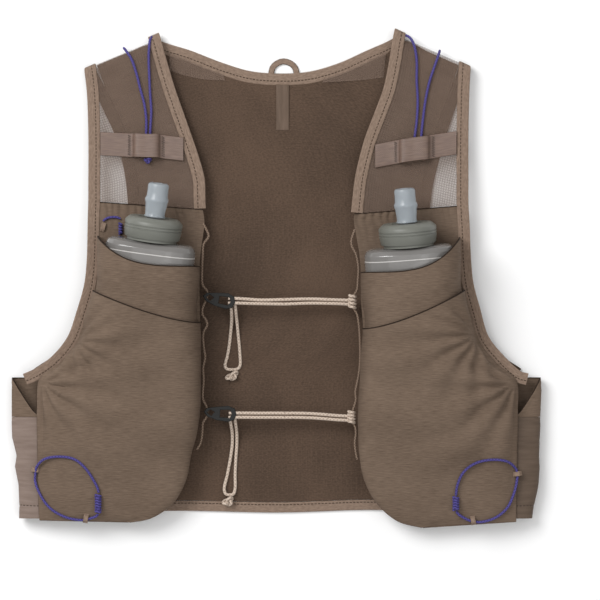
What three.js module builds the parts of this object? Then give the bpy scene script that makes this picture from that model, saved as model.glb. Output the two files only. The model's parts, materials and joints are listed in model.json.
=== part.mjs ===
// A running hydration vest, lying on its back with the chest side up.
// Millimetres, +Z up, +Y towards the neck. Left and right are seen from above.
import * as THREE from 'three';

// Overall sizes
const VEST_WIDTH = 449;
const VEST_LENGTH = 422;

// Cloth and tape
const CLOTH = 1.2;
const BACK_CLOTH = 1.6;
const CLEARANCE = 0.3;
const BINDING_WIDTH = 9;
const BINDING_THICKNESS = 2;
const HEM_WIDTH = 9;
const WEBBING_WIDTH = 20;
const WEBBING_THICKNESS = 1.4;
const LOOP_RISE = 5;
const NECK_TAPE_WIDTH = 11;
const NECK_TAPE_LENGTH = 39;
const HANG_LOOP_WIDTH = 5;
const TAB_WIDTH = 4;
const TAB_LENGTH = 7;
const TAB_THICKNESS = 1.6;

// Heights of the front over the back
const STRAP_GAP = 8;
const TORSO_GAP = 14;
const SHOULDER_FOLD = 8;
const SIDE_FULLNESS = 2.5;

// Soft flasks
const CAP_DIAMETER = 49;
const CAP_HEIGHT = 17.5;
const CAP_CHAMFER = 3.5;
const CAP_SIDES = 20;
const VALVE_DIAMETER = 20;
const VALVE_LENGTH = 29;
const VALVE_SIDES = 14;
const NECK_DIAMETER = 44;
const NECK_HEIGHT = 2.6;
const FLASK_WIDTH = 77;
const FLASK_LENGTH = 150;
const FLASK_TILT = 5.5;
const LEFT_LEAN = 7.5;
const RIGHT_LEAN = -4.5;
const CAP_SEAT = 0.6;

// Cords and hooks
const LACE_DIAMETER = 2;
const SHOULDER_DIAMETER = 2.2;
const HEM_DIAMETER = 2.2;
const STERNUM_DIAMETER = 2.5;
const CORD_SIDES = 8;
const CORD_STEP = 2.8;
const HOOK_LENGTH = 28;
const HOOK_WIDTH = 13.5;
const HOOK_THICKNESS = 3.6;

const UP = new THREE.Vector3(0, 0, 1);
const vest = new THREE.Group();

// Turns rows of numbers into rows with named columns.
function table(columns, rows) {
  return rows.map(row => Object.fromEntries(columns.map((name, i) => [name, row[i]])));
}

// Places, as shares of the vest's width (from its centre line) and length.
const at = (x, y, z = 0) => new THREE.Vector3(x * VEST_WIDTH, y * VEST_LENGTH, z);

// The front of the vest, one row for each section from the shoulder fold to the lower edge.
const FRONT = table(
  ['leftInX', 'leftInY', 'leftOutX', 'leftOutY', 'rightInX', 'rightInY', 'rightOutX', 'rightOutY'],
  [
    [-0.238, 0.478, -0.345, 0.431, 0.242, 0.486, 0.350, 0.436],
    [-0.211, 0.379, -0.339, 0.375, 0.223, 0.379, 0.347, 0.379],
    [-0.178, 0.279, -0.336, 0.279, 0.188, 0.279, 0.345, 0.279],
    [-0.155, 0.198, -0.336, 0.202, 0.169, 0.198, 0.345, 0.202],
    [-0.153, 0.141, -0.336, 0.156, 0.162, 0.132, 0.345, 0.148],
    [-0.141, 0.102, -0.337, 0.114, 0.155, 0.096, 0.347, 0.110],
    [-0.145, 0.025, -0.339, 0.033, 0.161, 0.013, 0.350, 0.033],
    [-0.145, -0.031, -0.344, -0.015, 0.161, -0.043, 0.355, -0.015],
    [-0.144, -0.088, -0.358, -0.069, 0.165, -0.100, 0.367, -0.063],
    [-0.143, -0.144, -0.378, -0.128, 0.164, -0.154, 0.385, -0.126],
    [-0.143, -0.204, -0.411, -0.172, 0.159, -0.208, 0.419, -0.172],
    [-0.143, -0.253, -0.447, -0.200, 0.156, -0.255, 0.455, -0.206],
    [-0.148, -0.297, -0.453, -0.265, 0.157, -0.301, 0.458, -0.269],
    [-0.161, -0.355, -0.452, -0.335, 0.161, -0.355, 0.457, -0.339],
    [-0.169, -0.401, -0.452, -0.401, 0.167, -0.403, 0.456, -0.403],
    [-0.193, -0.450, -0.450, -0.446, 0.189, -0.450, 0.455, -0.448],
    [-0.235, -0.482, -0.449, -0.472, 0.229, -0.488, 0.455, -0.474],
    [-0.280, -0.492, -0.448, -0.488, 0.280, -0.503, 0.455, -0.491],
  ],
);
const LAST_ROW = FRONT.length - 1;
const MESH_END = 4;
const ARMHOLE_END = 11;

// Where each armhole binding stops beside the side opening.
const BINDING_END = { left: at(-0.472, -0.212), right: at(0.474, -0.212) };

// The back panel's edges: lower edge, armhole edges and neckline with shoulders.
const BACK_SIDE = table(
  ['leftX', 'rightX', 'y'],
  [
    [-0.449, 0.455, -0.463],
    [-0.451, 0.457, -0.340],
    [-0.449, 0.455, -0.200],
    [-0.372, 0.378, -0.142],
    [-0.280, 0.300, -0.013],
    [-0.262, 0.273, 0.100],
    [-0.264, 0.277, 0.180],
    [-0.282, 0.300, 0.279],
    [-0.315, 0.325, 0.360],
    [-0.341, 0.347, 0.424],
  ],
);
const BACK_TOP = table(
  ['x', 'y'],
  [
    [-0.341, 0.424],
    [-0.281, 0.450],
    [-0.236, 0.466],
    [-0.165, 0.440],
    [-0.112, 0.418],
    [-0.052, 0.399],
    [0.008, 0.394],
    [0.066, 0.398],
    [0.123, 0.415],
    [0.174, 0.439],
    [0.241, 0.474],
    [0.288, 0.452],
    [0.347, 0.424],
  ],
);
const NECKLINE = { first: 2, last: 10 };
const HEM_LINE = table(
  ['x', 'y'],
  [
    [-0.449, -0.463],
    [-0.211, -0.449],
    [0.008, -0.452],
    [0.200, -0.447],
    [0.455, -0.463],
  ],
);

// How far the side panels reach out, and the level of each row.
const SIDE_REACH = table(
  ['y', 'left', 'right'],
  [
    [-0.180, -0.500, 0.500],
    [-0.225, -0.502, 0.504],
    [-0.320, -0.502, 0.500],
    [-0.357, -0.493, 0.500],
    [-0.380, -0.496, 0.501],
    [-0.415, -0.489, 0.498],
    [-0.460, -0.488, 0.490],
    [-0.486, -0.488, 0.486],
  ],
);
const YOKE_SEAM = -0.279;
const SIDE_FOOT = -0.484;

// The mesh crescents beside the neck, from the shoulder to where they thin out.
const YOKE = table(
  ['leftTopX', 'leftTopY', 'leftLowX', 'leftLowY', 'rightTopX', 'rightTopY', 'rightLowX', 'rightLowY'],
  [
    [-0.203, 0.458, -0.203, 0.421, 0.209, 0.459, 0.205, 0.407],
    [-0.175, 0.445, -0.170, 0.410, 0.172, 0.438, 0.165, 0.402],
    [-0.140, 0.429, -0.135, 0.403, 0.130, 0.418, 0.125, 0.399],
    [-0.100, 0.413, -0.097, 0.401, 0.090, 0.404, 0.088, 0.397],
  ],
);

const mix = (a, b, t) => a + (b - a) * t;
const radians = degrees => degrees * Math.PI / 180;
const range = (count, last = 1) => Array.from({ length: count + 1 }, (_, i) => last * i / count);
const smooth = t => {
  const s = Math.min(Math.max(t, 0), 1);
  return s * s * (3 - 2 * s);
};

// Reads a column of a table at a height, in a straight line between rows.
function level(rows, column, y) {
  const below = rows.findIndex(row => row.y <= y);
  if (below === 0) {
    return rows[0][column];
  }
  if (below < 0) {
    return rows[rows.length - 1][column];
  }
  const upper = rows[below - 1];
  const lower = rows[below];
  return mix(upper[column], lower[column], (upper.y - y) / (upper.y - lower.y));
}

// Makes one closed mesh with its faces pointing out.
function solid(points, faces) {
  let volume = 0;
  for (const [a, b, c] of faces) {
    volume += points[a].dot(new THREE.Vector3().crossVectors(points[b], points[c]));
  }
  const turned = volume < 0 ? faces.map(([a, b, c]) => [a, c, b]) : faces;
  const geometry = new THREE.BufferGeometry();
  geometry.setAttribute('position', new THREE.Float32BufferAttribute(points.flatMap(p => p.toArray()), 3));
  geometry.setIndex(turned.flat());
  geometry.computeVertexNormals();
  return geometry;
}

function add(name, geometry, material) {
  const mesh = new THREE.Mesh(geometry, material);
  mesh.name = name;
  vest.add(mesh);
  return mesh;
}

// A sheet of cloth of even thickness over a grid of places.
function sheet(place, across, along, thickness) {
  const middle = along.map(v => across.map(u => place(u, v)));
  const rows = along.length;
  const columns = across.length;
  const points = [];
  for (const side of [0.5, -0.5]) {
    for (let i = 0; i < rows; i += 1) {
      for (let j = 0; j < columns; j += 1) {
        const down = middle[Math.min(i + 1, rows - 1)][j].clone().sub(middle[Math.max(i - 1, 0)][j]);
        const over = middle[i][Math.min(j + 1, columns - 1)].clone().sub(middle[i][Math.max(j - 1, 0)]);
        const normal = down.cross(over).normalize();
        points.push(middle[i][j].clone().addScaledVector(normal, side * thickness));
      }
    }
  }
  const faces = [];
  const quad = (a, b, c, d) => faces.push([a, b, c], [a, c, d]);
  const upper = (i, j) => i * columns + j;
  const lower = (i, j) => rows * columns + i * columns + j;
  for (let i = 0; i + 1 < rows; i += 1) {
    for (let j = 0; j + 1 < columns; j += 1) {
      quad(upper(i, j), upper(i, j + 1), upper(i + 1, j + 1), upper(i + 1, j));
      quad(lower(i, j), lower(i + 1, j), lower(i + 1, j + 1), lower(i, j + 1));
    }
    quad(upper(i, 0), upper(i + 1, 0), lower(i + 1, 0), lower(i, 0));
    quad(upper(i + 1, columns - 1), upper(i, columns - 1), lower(i, columns - 1), lower(i + 1, columns - 1));
  }
  for (let j = 0; j + 1 < columns; j += 1) {
    quad(upper(0, j + 1), upper(0, j), lower(0, j), lower(0, j + 1));
    quad(upper(rows - 1, j), upper(rows - 1, j + 1), lower(rows - 1, j + 1), lower(rows - 1, j));
  }
  return solid(points, faces);
}

// A tape swept through stations of place, side direction and normal.
function tape(stations, from, to, thickness) {
  const points = [];
  for (const { place, side, normal } of stations) {
    for (const [across, depth] of [[from, 0.5], [to, 0.5], [to, -0.5], [from, -0.5]]) {
      points.push(place.clone().addScaledVector(side, across).addScaledVector(normal, depth * thickness));
    }
  }
  const faces = [[0, 1, 2], [0, 2, 3]];
  for (let i = 0; i + 1 < stations.length; i += 1) {
    for (let k = 0; k < 4; k += 1) {
      const a = 4 * i + k;
      const b = 4 * i + (k + 1) % 4;
      faces.push([a, a + 4, b + 4], [a, b + 4, b]);
    }
  }
  const end = 4 * (stations.length - 1);
  faces.push([end, end + 2, end + 1], [end, end + 3, end + 2]);
  return solid(points, faces);
}

// Stations with the side direction found from each normal and the way the tape runs.
function bindingStations(places) {
  return places.map(({ place, normal }, i) => {
    const before = places[Math.max(i - 1, 0)].place;
    const after = places[Math.min(i + 1, places.length - 1)].place;
    const tangent = after.clone().sub(before).normalize();
    const side = tangent.cross(normal).normalize();
    return { place, side, normal };
  });
}

// Stations of a strip whose width keeps one direction.
function stripStations(places, side) {
  return places.map((place, i) => {
    const before = places[Math.max(i - 1, 0)];
    const after = places[Math.min(i + 1, places.length - 1)];
    const tangent = after.clone().sub(before).normalize();
    return { place, side, normal: side.clone().cross(tangent).normalize() };
  });
}

function cord(points, diameter) {
  const path = new THREE.CatmullRomCurve3(points, false, 'centripetal');
  const section = new THREE.Shape(range(CORD_SIDES).slice(1).map(turn => {
    const angle = 2 * Math.PI * turn;
    return new THREE.Vector2(Math.cos(angle), Math.sin(angle)).multiplyScalar(diameter / 2);
  }));
  const steps = Math.max(6, Math.round(path.getLength() / (CORD_STEP * diameter)));
  return new THREE.ExtrudeGeometry(section, { steps, extrudePath: path, bevelEnabled: false });
}

// A rounded lump: a knot, with a waist for a barrel knot.
function knot(centre, size, waist = 0) {
  const rings = 6;
  const sides = 8;
  const points = [new THREE.Vector3(0, 0.5, 0)];
  for (let i = 1; i < rings; i += 1) {
    const polar = Math.PI * i / rings;
    const radius = 0.5 * Math.sin(polar) * (1 - waist * Math.sin(polar) ** 4);
    for (let j = 0; j < sides; j += 1) {
      const turn = 2 * Math.PI * j / sides;
      points.push(new THREE.Vector3(radius * Math.cos(turn), 0.5 * Math.cos(polar), radius * Math.sin(turn)));
    }
  }
  points.push(new THREE.Vector3(0, -0.5, 0));
  const faces = [];
  for (let j = 0; j < sides; j += 1) {
    const next = (j + 1) % sides;
    faces.push([0, 1 + next, 1 + j]);
    for (let i = 0; i + 2 < rings; i += 1) {
      const a = 1 + i * sides;
      faces.push([a + j, a + next, a + sides + next], [a + j, a + sides + next, a + sides + j]);
    }
    const last = 1 + (rings - 2) * sides;
    faces.push([last + j, last + next, points.length - 1]);
  }
  return solid(points.map(p => p.multiply(size).add(centre)), faces);
}

const cloth = new THREE.MeshStandardMaterial({ color: 0x7b6b5d, roughness: 0.9, metalness: 0 });
const lining = new THREE.MeshStandardMaterial({ color: 0x54463c, roughness: 0.85, metalness: 0 });
const mesh = new THREE.MeshStandardMaterial({ color: 0x8f7a68, roughness: 0.9, metalness: 0 });
const binding = new THREE.MeshStandardMaterial({ color: 0x8a7768, roughness: 0.85, metalness: 0 });
const webbing = new THREE.MeshStandardMaterial({ color: 0x8d776a, roughness: 0.55, metalness: 0 });
const sidecloth = new THREE.MeshStandardMaterial({ color: 0x7d6e65, roughness: 0.7, metalness: 0 });
const laceCloth = new THREE.MeshStandardMaterial({ color: 0x6e5f53, roughness: 0.85, metalness: 0 });
const purple = new THREE.MeshStandardMaterial({ color: 0x5b4f96, roughness: 0.7, metalness: 0 });
const beige = new THREE.MeshStandardMaterial({ color: 0xd3c1ae, roughness: 0.85, metalness: 0 });
const capPlastic = new THREE.MeshStandardMaterial({ color: 0x8a8b80, roughness: 0.5, metalness: 0 });
const flaskPlastic = new THREE.MeshStandardMaterial({ color: 0x8f8f8c, roughness: 0.25, metalness: 0 });
const valvePlastic = new THREE.MeshStandardMaterial({ color: 0xb9c3c9, roughness: 0.35, metalness: 0 });
const hookPlastic = new THREE.MeshStandardMaterial({ color: 0x2d302f, roughness: 0.45, metalness: 0 });

// The level of the front's cloth, rising from the shoulder fold to over the chest.
const FOLD_LEVEL = BACK_CLOTH + CLEARANCE + CLOTH / 2;
function frontLevel(row) {
  const run = row * VEST_LENGTH * (FRONT[0].leftInY - FRONT[1].leftInY);
  const near = Math.max(0, 1 - run / SHOULDER_FOLD);
  const climb = smooth(run / (VEST_LENGTH / 2));
  return FOLD_LEVEL + STRAP_GAP * Math.sqrt(1 - near * near) + (TORSO_GAP - STRAP_GAP) * climb;
}

function edgeCurve(side, edge) {
  return new THREE.CatmullRomCurve3(FRONT.map(row => at(row[side + edge + 'X'], row[side + edge + 'Y'])));
}
const EDGES = {
  left: { inner: edgeCurve('left', 'In'), outer: edgeCurve('left', 'Out') },
  right: { inner: edgeCurve('right', 'In'), outer: edgeCurve('right', 'Out') },
};
const innerAt = (side, row) => EDGES[side].inner.getPoint(row / LAST_ROW).setZ(frontLevel(row));
const outerAt = (side, row) => EDGES[side].outer.getPoint(row / LAST_ROW).setZ(frontLevel(row));
const frontAt = (side, u, row) => innerAt(side, row).lerp(outerAt(side, row), u);

// The directions out of each shoulder fold, in plan.
const OUTWARD = {
  left: new THREE.Vector3(-0.40, 0.917, 0),
  right: new THREE.Vector3(0.42, 0.907, 0),
};

// The rows of the front at which its cloth and its tapes both bend.
const STRAP_ROWS = [0, 0.03, 0.08, 0.2, 0.5, 1, 1.5, 2, 2.5, 3, 3.5, MESH_END];
const BACK_ROWS = [MESH_END + 0.02, 4.5, 5, 6, 7, 8, 9, 10, 11, 12, 13, 14, 15, 16, LAST_ROW];

// A tape's way over the shoulder, from the front's level down to the back's.
const BACK_LEVEL = BINDING_THICKNESS / 2;
const FOLD_START = 0.2;
function foldPlaces(side, seam) {
  const top = seam(FOLD_START);
  const radius = (top.z - BACK_LEVEL) / 2;
  const outward = OUTWARD[side];
  const along = seam(0).sub(top).setZ(0).normalize();
  return range(4, Math.PI).map(turn => {
    const normal = UP.clone().multiplyScalar(Math.cos(turn)).addScaledVector(outward, Math.sin(turn));
    const place = seam(0).addScaledVector(along, radius * (Math.sin(turn) - 1));
    place.z = BACK_LEVEL + radius * (1 + Math.cos(turn));
    return { place, normal };
  });
}

const backPlaces = curve => curve.map(place => ({ place, normal: UP.clone().negate() }));

function addBackPanel() {
  const low = new THREE.CatmullRomCurve3(HEM_LINE.map(row => at(row.x, row.y)));
  const top = new THREE.CatmullRomCurve3(BACK_TOP.map(row => at(row.x, row.y)));
  const left = new THREE.CatmullRomCurve3(BACK_SIDE.map(row => at(row.leftX, row.y)));
  const right = new THREE.CatmullRomCurve3(BACK_SIDE.map(row => at(row.rightX, row.y)));
  const corner = {
    lowLeft: low.getPoint(0), lowRight: low.getPoint(1), topLeft: top.getPoint(0), topRight: top.getPoint(1),
  };
  const place = (u, v) => {
    const ruled = low.getPoint(u).lerp(top.getPoint(u), v);
    const sides = left.getPoint(v).lerp(right.getPoint(v), u);
    const flat = corner.lowLeft.clone().lerp(corner.lowRight, u)
      .lerp(corner.topLeft.clone().lerp(corner.topRight, u), v);
    return ruled.add(sides).sub(flat).setZ(BACK_CLOTH / 2);
  };
  add('back_panel', sheet(place, range(BACK_TOP.length - 1), range(BACK_SIDE.length - 1), BACK_CLOTH), lining);

  const hem = range(BACK_TOP.length - 1).map(u => low.getPoint(u))
    .map(point => ({ place: point.setZ(BINDING_THICKNESS / 2), normal: UP }));
  add('back_hem', tape(bindingStations(hem), CLEARANCE, HEM_WIDTH, BINDING_THICKNESS), binding);
}

function addNeckBinding() {
  const strap = side => STRAP_ROWS.filter(row => row > FOLD_START).reverse()
    .map(row => ({ place: innerAt(side, row), normal: UP }));
  const over = side => foldPlaces(side, row => innerAt(side, row));
  const neckline = backPlaces(
    BACK_TOP.slice(NECKLINE.first + 1, NECKLINE.last).map(row => at(row.x, row.y, BACK_LEVEL)),
  );
  const places = [
    ...strap('left'), ...over('left'), ...neckline, ...over('right').reverse(), ...strap('right').reverse(),
  ];
  add('neck_binding', tape(bindingStations(places), CLEARANCE, BINDING_WIDTH, BINDING_THICKNESS), binding);
}

function addArmholeBinding(side) {
  const seam = row => outerAt(side, row);
  const front = [...STRAP_ROWS.filter(row => row > FOLD_START), ...BACK_ROWS.slice(1)]
    .filter(row => row <= ARMHOLE_END).reverse();
  const end = BINDING_END[side].clone().setZ(frontLevel(ARMHOLE_END));
  const back = BACK_SIDE.slice(2, -1).reverse().map(row => at(row[side + 'X'], row.y, BACK_LEVEL));
  const places = [
    { place: end, normal: UP },
    ...front.map(row => ({ place: seam(row), normal: UP })),
    ...foldPlaces(side, seam),
    ...backPlaces(back),
  ];
  const away = side === 'left' ? -1 : 1;
  const geometry = tape(bindingStations(places), away * CLEARANCE, away * BINDING_WIDTH, BINDING_THICKNESS);
  add(`${side}_armhole_binding`, geometry, binding);
}

function addYoke(side) {
  const place = (u, v) => {
    const row = YOKE.map(r => at(r[side + 'TopX'], r[side + 'TopY']));
    const low = YOKE.map(r => at(r[side + 'LowX'], r[side + 'LowY']));
    const top = new THREE.CatmullRomCurve3(row).getPoint(v);
    return top.lerp(new THREE.CatmullRomCurve3(low).getPoint(v), u)
      .setZ(BINDING_THICKNESS + CLEARANCE + CLOTH / 2);
  };
  add(`${side}_yoke`, sheet(place, [0, 1], range(5), CLOTH), mesh);
}

function addStrap(side) {
  add(`${side}_strap_mesh`, sheet((u, row) => frontAt(side, u, row), range(4), STRAP_ROWS, CLOTH), mesh);
}

// The webbing band: where it crosses the strap, and its raised loop.
const WEBBING = table(
  ['leftX', 'leftY', 'rightX', 'rightY', 'rise'],
  [
    [-0.333, 0.272, 0.342, 0.274, 0],
    [-0.276, 0.269, 0.296, 0.266, 0],
    [-0.270, 0.269, 0.290, 0.265, 0.2],
    [-0.266, 0.269, 0.286, 0.264, 1],
    [-0.245, 0.268, 0.262, 0.261, 1.08],
    [-0.225, 0.268, 0.238, 0.257, 1],
    [-0.221, 0.267, 0.234, 0.256, 0.2],
    [-0.215, 0.266, 0.228, 0.255, 0],
    [-0.176, 0.261, 0.188, 0.247, 0],
  ],
);
const WEBBING_LIFT = CLOTH / 2 + CLEARANCE + WEBBING_THICKNESS / 2;

// The front's row under the webbing's lower edge.
function webbingRow(y) {
  const spacing = FRONT[2].leftInY - FRONT[3].leftInY;
  return 2 + (FRONT[2].leftInY - y + WEBBING_WIDTH / 2 / VEST_LENGTH) / spacing;
}

function addWebbing(side) {
  const places = WEBBING.map(row => at(
    row[side + 'X'], row[side + 'Y'],
    frontLevel(webbingRow(row[side + 'Y'])) + WEBBING_LIFT + row.rise * LOOP_RISE,
  ));
  const width = new THREE.Vector3(0, 1, 0);
  const half = WEBBING_WIDTH / 2;
  add(`${side}_webbing`, tape(stripStations(places, width), -half, half, WEBBING_THICKNESS), webbing);
}

function addPocketBack(side) {
  add(`${side}_pocket_back`, sheet((u, row) => frontAt(side, u, row), range(3), BACK_ROWS, CLOTH), cloth);
}

// The flasks: where each cap sits and how its axis leans.
const FLASKS = {
  left: { x: -0.231, y: 0.1016, lean: LEFT_LEAN },
  right: { x: 0.2485, y: 0.0905, lean: RIGHT_LEAN },
};
const BASE_TOP = frontLevel(6) + CLOTH / 2;
const AXIS_LEVEL = BASE_TOP + CAP_SEAT + CAP_DIAMETER / 2;

function flaskAxis(side) {
  const { x, y, lean } = FLASKS[side];
  const tilt = radians(FLASK_TILT);
  const along = new THREE.Vector3(
    Math.sin(radians(lean)) * Math.cos(tilt), Math.cos(radians(lean)) * Math.cos(tilt), Math.sin(tilt),
  );
  return { centre: at(x, y, AXIS_LEVEL), along };
}

// Half the flask's thickness, so that it lies on the cloth behind it all the way.
const SHOULDER = CAP_HEIGHT / 2 + NECK_HEIGHT;
const flaskHalf = run => AXIS_LEVEL - BASE_TOP - CAP_SEAT - run * Math.sin(radians(FLASK_TILT));

// Sections of the flask: distance below the shoulder, width and thickness as shares.
const FLASK_SECTIONS = table(
  ['along', 'width', 'thickness'],
  [
    [0, 0.86, 0.62],
    [0.012, 0.95, 0.84],
    [0.035, 0.99, 0.95],
    [0.08, 1, 0.985],
    [0.3, 1, 0.985],
    [0.6, 1, 0.98],
    [0.85, 0.99, 0.96],
    [0.96, 0.95, 0.8],
    [1, 0.86, 0.45],
  ],
);
const FLASK_SIDES = 16;
const FLASK_ROUNDNESS = 2.4;

function power(value, roundness) {
  return Math.sign(value) * Math.abs(value) ** (2 / roundness);
}

function addFlask(side) {
  const { centre, along } = flaskAxis(side);
  const across = new THREE.Vector3().crossVectors(along, UP).normalize();
  const up = new THREE.Vector3().crossVectors(across, along).normalize();
  const rings = FLASK_SECTIONS.map(row => {
    const run = SHOULDER + row.along * FLASK_LENGTH;
    const middle = centre.clone().addScaledVector(along, -run);
    const half = flaskHalf(run);
    return range(FLASK_SIDES).slice(1).map(turn => middle.clone()
      .addScaledVector(across, row.width * FLASK_WIDTH / 2 * power(Math.cos(2 * Math.PI * turn), FLASK_ROUNDNESS))
      .addScaledVector(up, row.thickness * half * power(Math.sin(2 * Math.PI * turn), FLASK_ROUNDNESS)));
  });
  const points = rings.flat();
  const first = points.push(centre.clone().addScaledVector(along, -SHOULDER)) - 1;
  const last = points.push(centre.clone().addScaledVector(along, -SHOULDER - FLASK_LENGTH)) - 1;
  const faces = [];
  const end = (rings.length - 1) * FLASK_SIDES;
  for (let j = 0; j < FLASK_SIDES; j += 1) {
    const next = (j + 1) % FLASK_SIDES;
    faces.push([first, j, next], [last, end + next, end + j]);
    for (let a = 0; a < end; a += FLASK_SIDES) {
      faces.push([a + j, a + FLASK_SIDES + j, a + FLASK_SIDES + next], [a + j, a + FLASK_SIDES + next, a + next]);
    }
  }
  add(`${side}_flask_body`, solid(points, faces), flaskPlastic);
}

function alongAxis(mesh, side, start) {
  const { centre, along } = flaskAxis(side);
  mesh.quaternion.setFromUnitVectors(new THREE.Vector3(0, 1, 0), along);
  mesh.position.copy(centre).addScaledVector(along, start);
}

function addCap(side) {
  const radius = CAP_DIAMETER / 2;
  const foot = -NECK_HEIGHT + CLEARANCE;
  const profile = [
    [0, foot],
    [NECK_DIAMETER / 2, foot],
    [NECK_DIAMETER / 2, 0],
    [radius * 0.95, 0],
    [radius, CAP_HEIGHT * 0.35],
    [radius, CAP_HEIGHT - CAP_CHAMFER],
    [radius - CAP_CHAMFER * 0.9, CAP_HEIGHT],
    [0, CAP_HEIGHT],
  ].map(([r, y]) => new THREE.Vector2(r, y));
  alongAxis(add(`${side}_flask_cap`, new THREE.LatheGeometry(profile, CAP_SIDES), capPlastic), side, -CAP_HEIGHT / 2);
}

function addValve(side) {
  const radius = VALVE_DIAMETER / 2;
  const profile = [
    [0, 0],
    [radius * 0.84, 0],
    [radius * 0.95, VALVE_LENGTH * 0.45],
    [radius, VALVE_LENGTH * 0.52],
    [radius * 0.94, VALVE_LENGTH * 0.6],
    [radius * 0.9, VALVE_LENGTH * 0.95],
    [radius * 0.8, VALVE_LENGTH],
    [0, VALVE_LENGTH],
  ].map(([r, y]) => new THREE.Vector2(r, y));
  const start = CAP_HEIGHT / 2 + CLEARANCE;
  alongAxis(add(`${side}_bite_valve`, new THREE.LatheGeometry(profile, VALVE_SIDES), valvePlastic), side, start);
}

// The pockets lie over the flask as a vault with a crest along the flask's axis.
const POCKET_ROOM = 2 * CLEARANCE + CLOTH + 1;
const POCKET_ROUNDNESS = 3.5;
const LAYER_STEP = CLOTH + 2 * CLEARANCE + 0.6;

// The crest of the vault over the base cloth, at a height on the vest.
function crest(side, y) {
  const { centre, along } = flaskAxis(side);
  const run = (centre.y - y) / along.y;
  const x = centre.x - along.x * run;
  const end = SHOULDER + FLASK_LENGTH * 0.8;
  const thick = 2 * flaskHalf(Math.min(Math.max(run, SHOULDER), end)) + POCKET_ROOM;
  const fade = smooth((run - end) / (VEST_LENGTH / 4));
  return { x, height: mix(thick, TORSO_GAP * 0.6, fade) };
}

// One place on a pocket: turn runs from 0 at the inner edge to 1 at the outer edge.
function vault(side, turn, row, raise) {
  const inner = innerAt(side, row.inner);
  const outer = outerAt(side, row.outer);
  const outward = outer.clone().sub(inner).setZ(0);
  const span = outward.length();
  outward.normalize();
  const middle = (crest(side, (inner.y + outer.y) / 2).x - inner.x) / outward.x;
  const angle = Math.PI * turn;
  const edge = (angle < Math.PI / 2 ? middle : span - middle) - row.inset * LAYER_STEP - CLEARANCE;
  const reach = Math.max(edge, row.holds * (FLASK_WIDTH / 2 + POCKET_ROOM + raise));
  const roundness = angle < Math.PI / 2 ? POCKET_ROUNDNESS : row.fullness;
  const offset = middle - reach * power(Math.cos(angle), roundness);
  const share = Math.min(Math.max(offset / span, 0), 1);
  const place = inner.clone().addScaledVector(outward, offset);
  place.y = mix(inner.y, outer.y, share ** row.curl);
  const height = (crest(side, place.y).height + raise) * row.rise;
  const lift = Math.abs(Math.sin(angle)) ** (2 / roundness) * height;
  place.z = mix(inner.z, outer.z, share) + CLOTH + CLEARANCE + lift;
  return place;
}

// Rows of a pocket: the rows of the front that its ends meet, how its edge curls, how full its outer
// side is, how far it lies inside the next pocket, its share of the vault's height and whether the
// flask's full width is in it.
const POCKET_COLUMNS = ['inner', 'outer', 'curl', 'fullness', 'inset', 'rise', 'holds'];
const BOTTLE_ROWS = table(POCKET_COLUMNS, [
  [6.0, 5.35, 4, 3.6, 0, 1, 1],
  [6.4, 5.9, 3, 3.6, 0, 1, 1],
  [6.9, 6.5, 2, 3.6, 0.5, 1, 1],
  [7.5, 7.0, 1.5, 3.2, 1, 1, 1],
  [8.15, 7.45, 1.5, 3.2, 1, 1, 1],
]);
const FRONT_ROWS = table(POCKET_COLUMNS, [
  [8.0, 7.15, 1.5, 3.2, 0, 1, 1],
  [8.5, 8.1, 1.2, 3, 0, 1, 1],
  [9, 8.9, 1, 2.8, 0, 1, 1],
  [9.6, 9.7, 1, 2.4, 0, 1, 1],
  [10.3, 10.4, 1, 2.1, 0, 1, 1],
  [11, 11, 1, 2, 0, 1, 0],
  [12, 12, 1, 2, 0, 1, 0],
  [13, 13, 1, 2, 0, 1, 0],
  [14, 14, 1, 2, 0, 0.9, 0],
  [15, 15, 1, 2, 0, 0.7, 0],
  [16, 16, 1, 2, 0, 0.4, 0],
  [16.9, 16.9, 1, 2, 0, 0.08, 0],
]);
const TURNS = [0, 0.05, 0.13, 0.25, 0.38, 0.5, 0.63, 0.76, 0.88, 0.95, 1];

function addPocket(name, side, rows, raise) {
  const place = (turn, i) => vault(side, turn, rows[i], raise);
  add(`${side}_${name}`, sheet(place, TURNS, rows.map((_, i) => i), CLOTH), cloth);
}

// The side panels fold from the back panel's edge round to the front's outer edge.
function sideAt(side, turn, y) {
  const away = side === 'left' ? -1 : 1;
  const back = level([...BACK_SIDE].reverse(), side + 'X', y) * VEST_WIDTH + away * CLEARANCE;
  const rows = FRONT.map(row => ({ y: row[side + 'OutY'], x: row[side + 'OutX'] }));
  const front = level(rows, 'x', y) * VEST_WIDTH + away * CLEARANCE;
  const reach = level(SIDE_REACH, side, y) * VEST_WIDTH - away * CLOTH / 2;
  const low = CLOTH / 2;
  const high = frontLevel(ARMHOLE_END);
  const angle = Math.PI * (turn - 0.5);
  const seam = mix(back, front, turn);
  return new THREE.Vector3(
    seam + (reach - seam) * power(Math.cos(angle), SIDE_FULLNESS),
    y * VEST_LENGTH,
    mix(low, high, 0.5 + 0.5 * power(Math.sin(angle), SIDE_FULLNESS)),
  );
}
const SIDE_TURNS = [0, 0.08, 0.2, 0.35, 0.5, 0.65, 0.8, 0.92, 1];

function addSide(side) {
  const foot = YOKE_SEAM - CLEARANCE / VEST_LENGTH;
  const panel = (turn, v) => sideAt(side, turn, mix(foot, SIDE_FOOT, v));
  add(`${side}_side_panel`, sheet(panel, SIDE_TURNS, range(5), CLOTH), sidecloth);

  const brim = turn => mix(-0.200, -0.272, smooth((turn - 0.35) / 0.65));
  const yoke = (turn, v) => sideAt(side, turn, mix(brim(turn), YOKE_SEAM, v));
  add(`${side}_side_yoke`, sheet(yoke, SIDE_TURNS, range(2), CLOTH), cloth);
}

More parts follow.
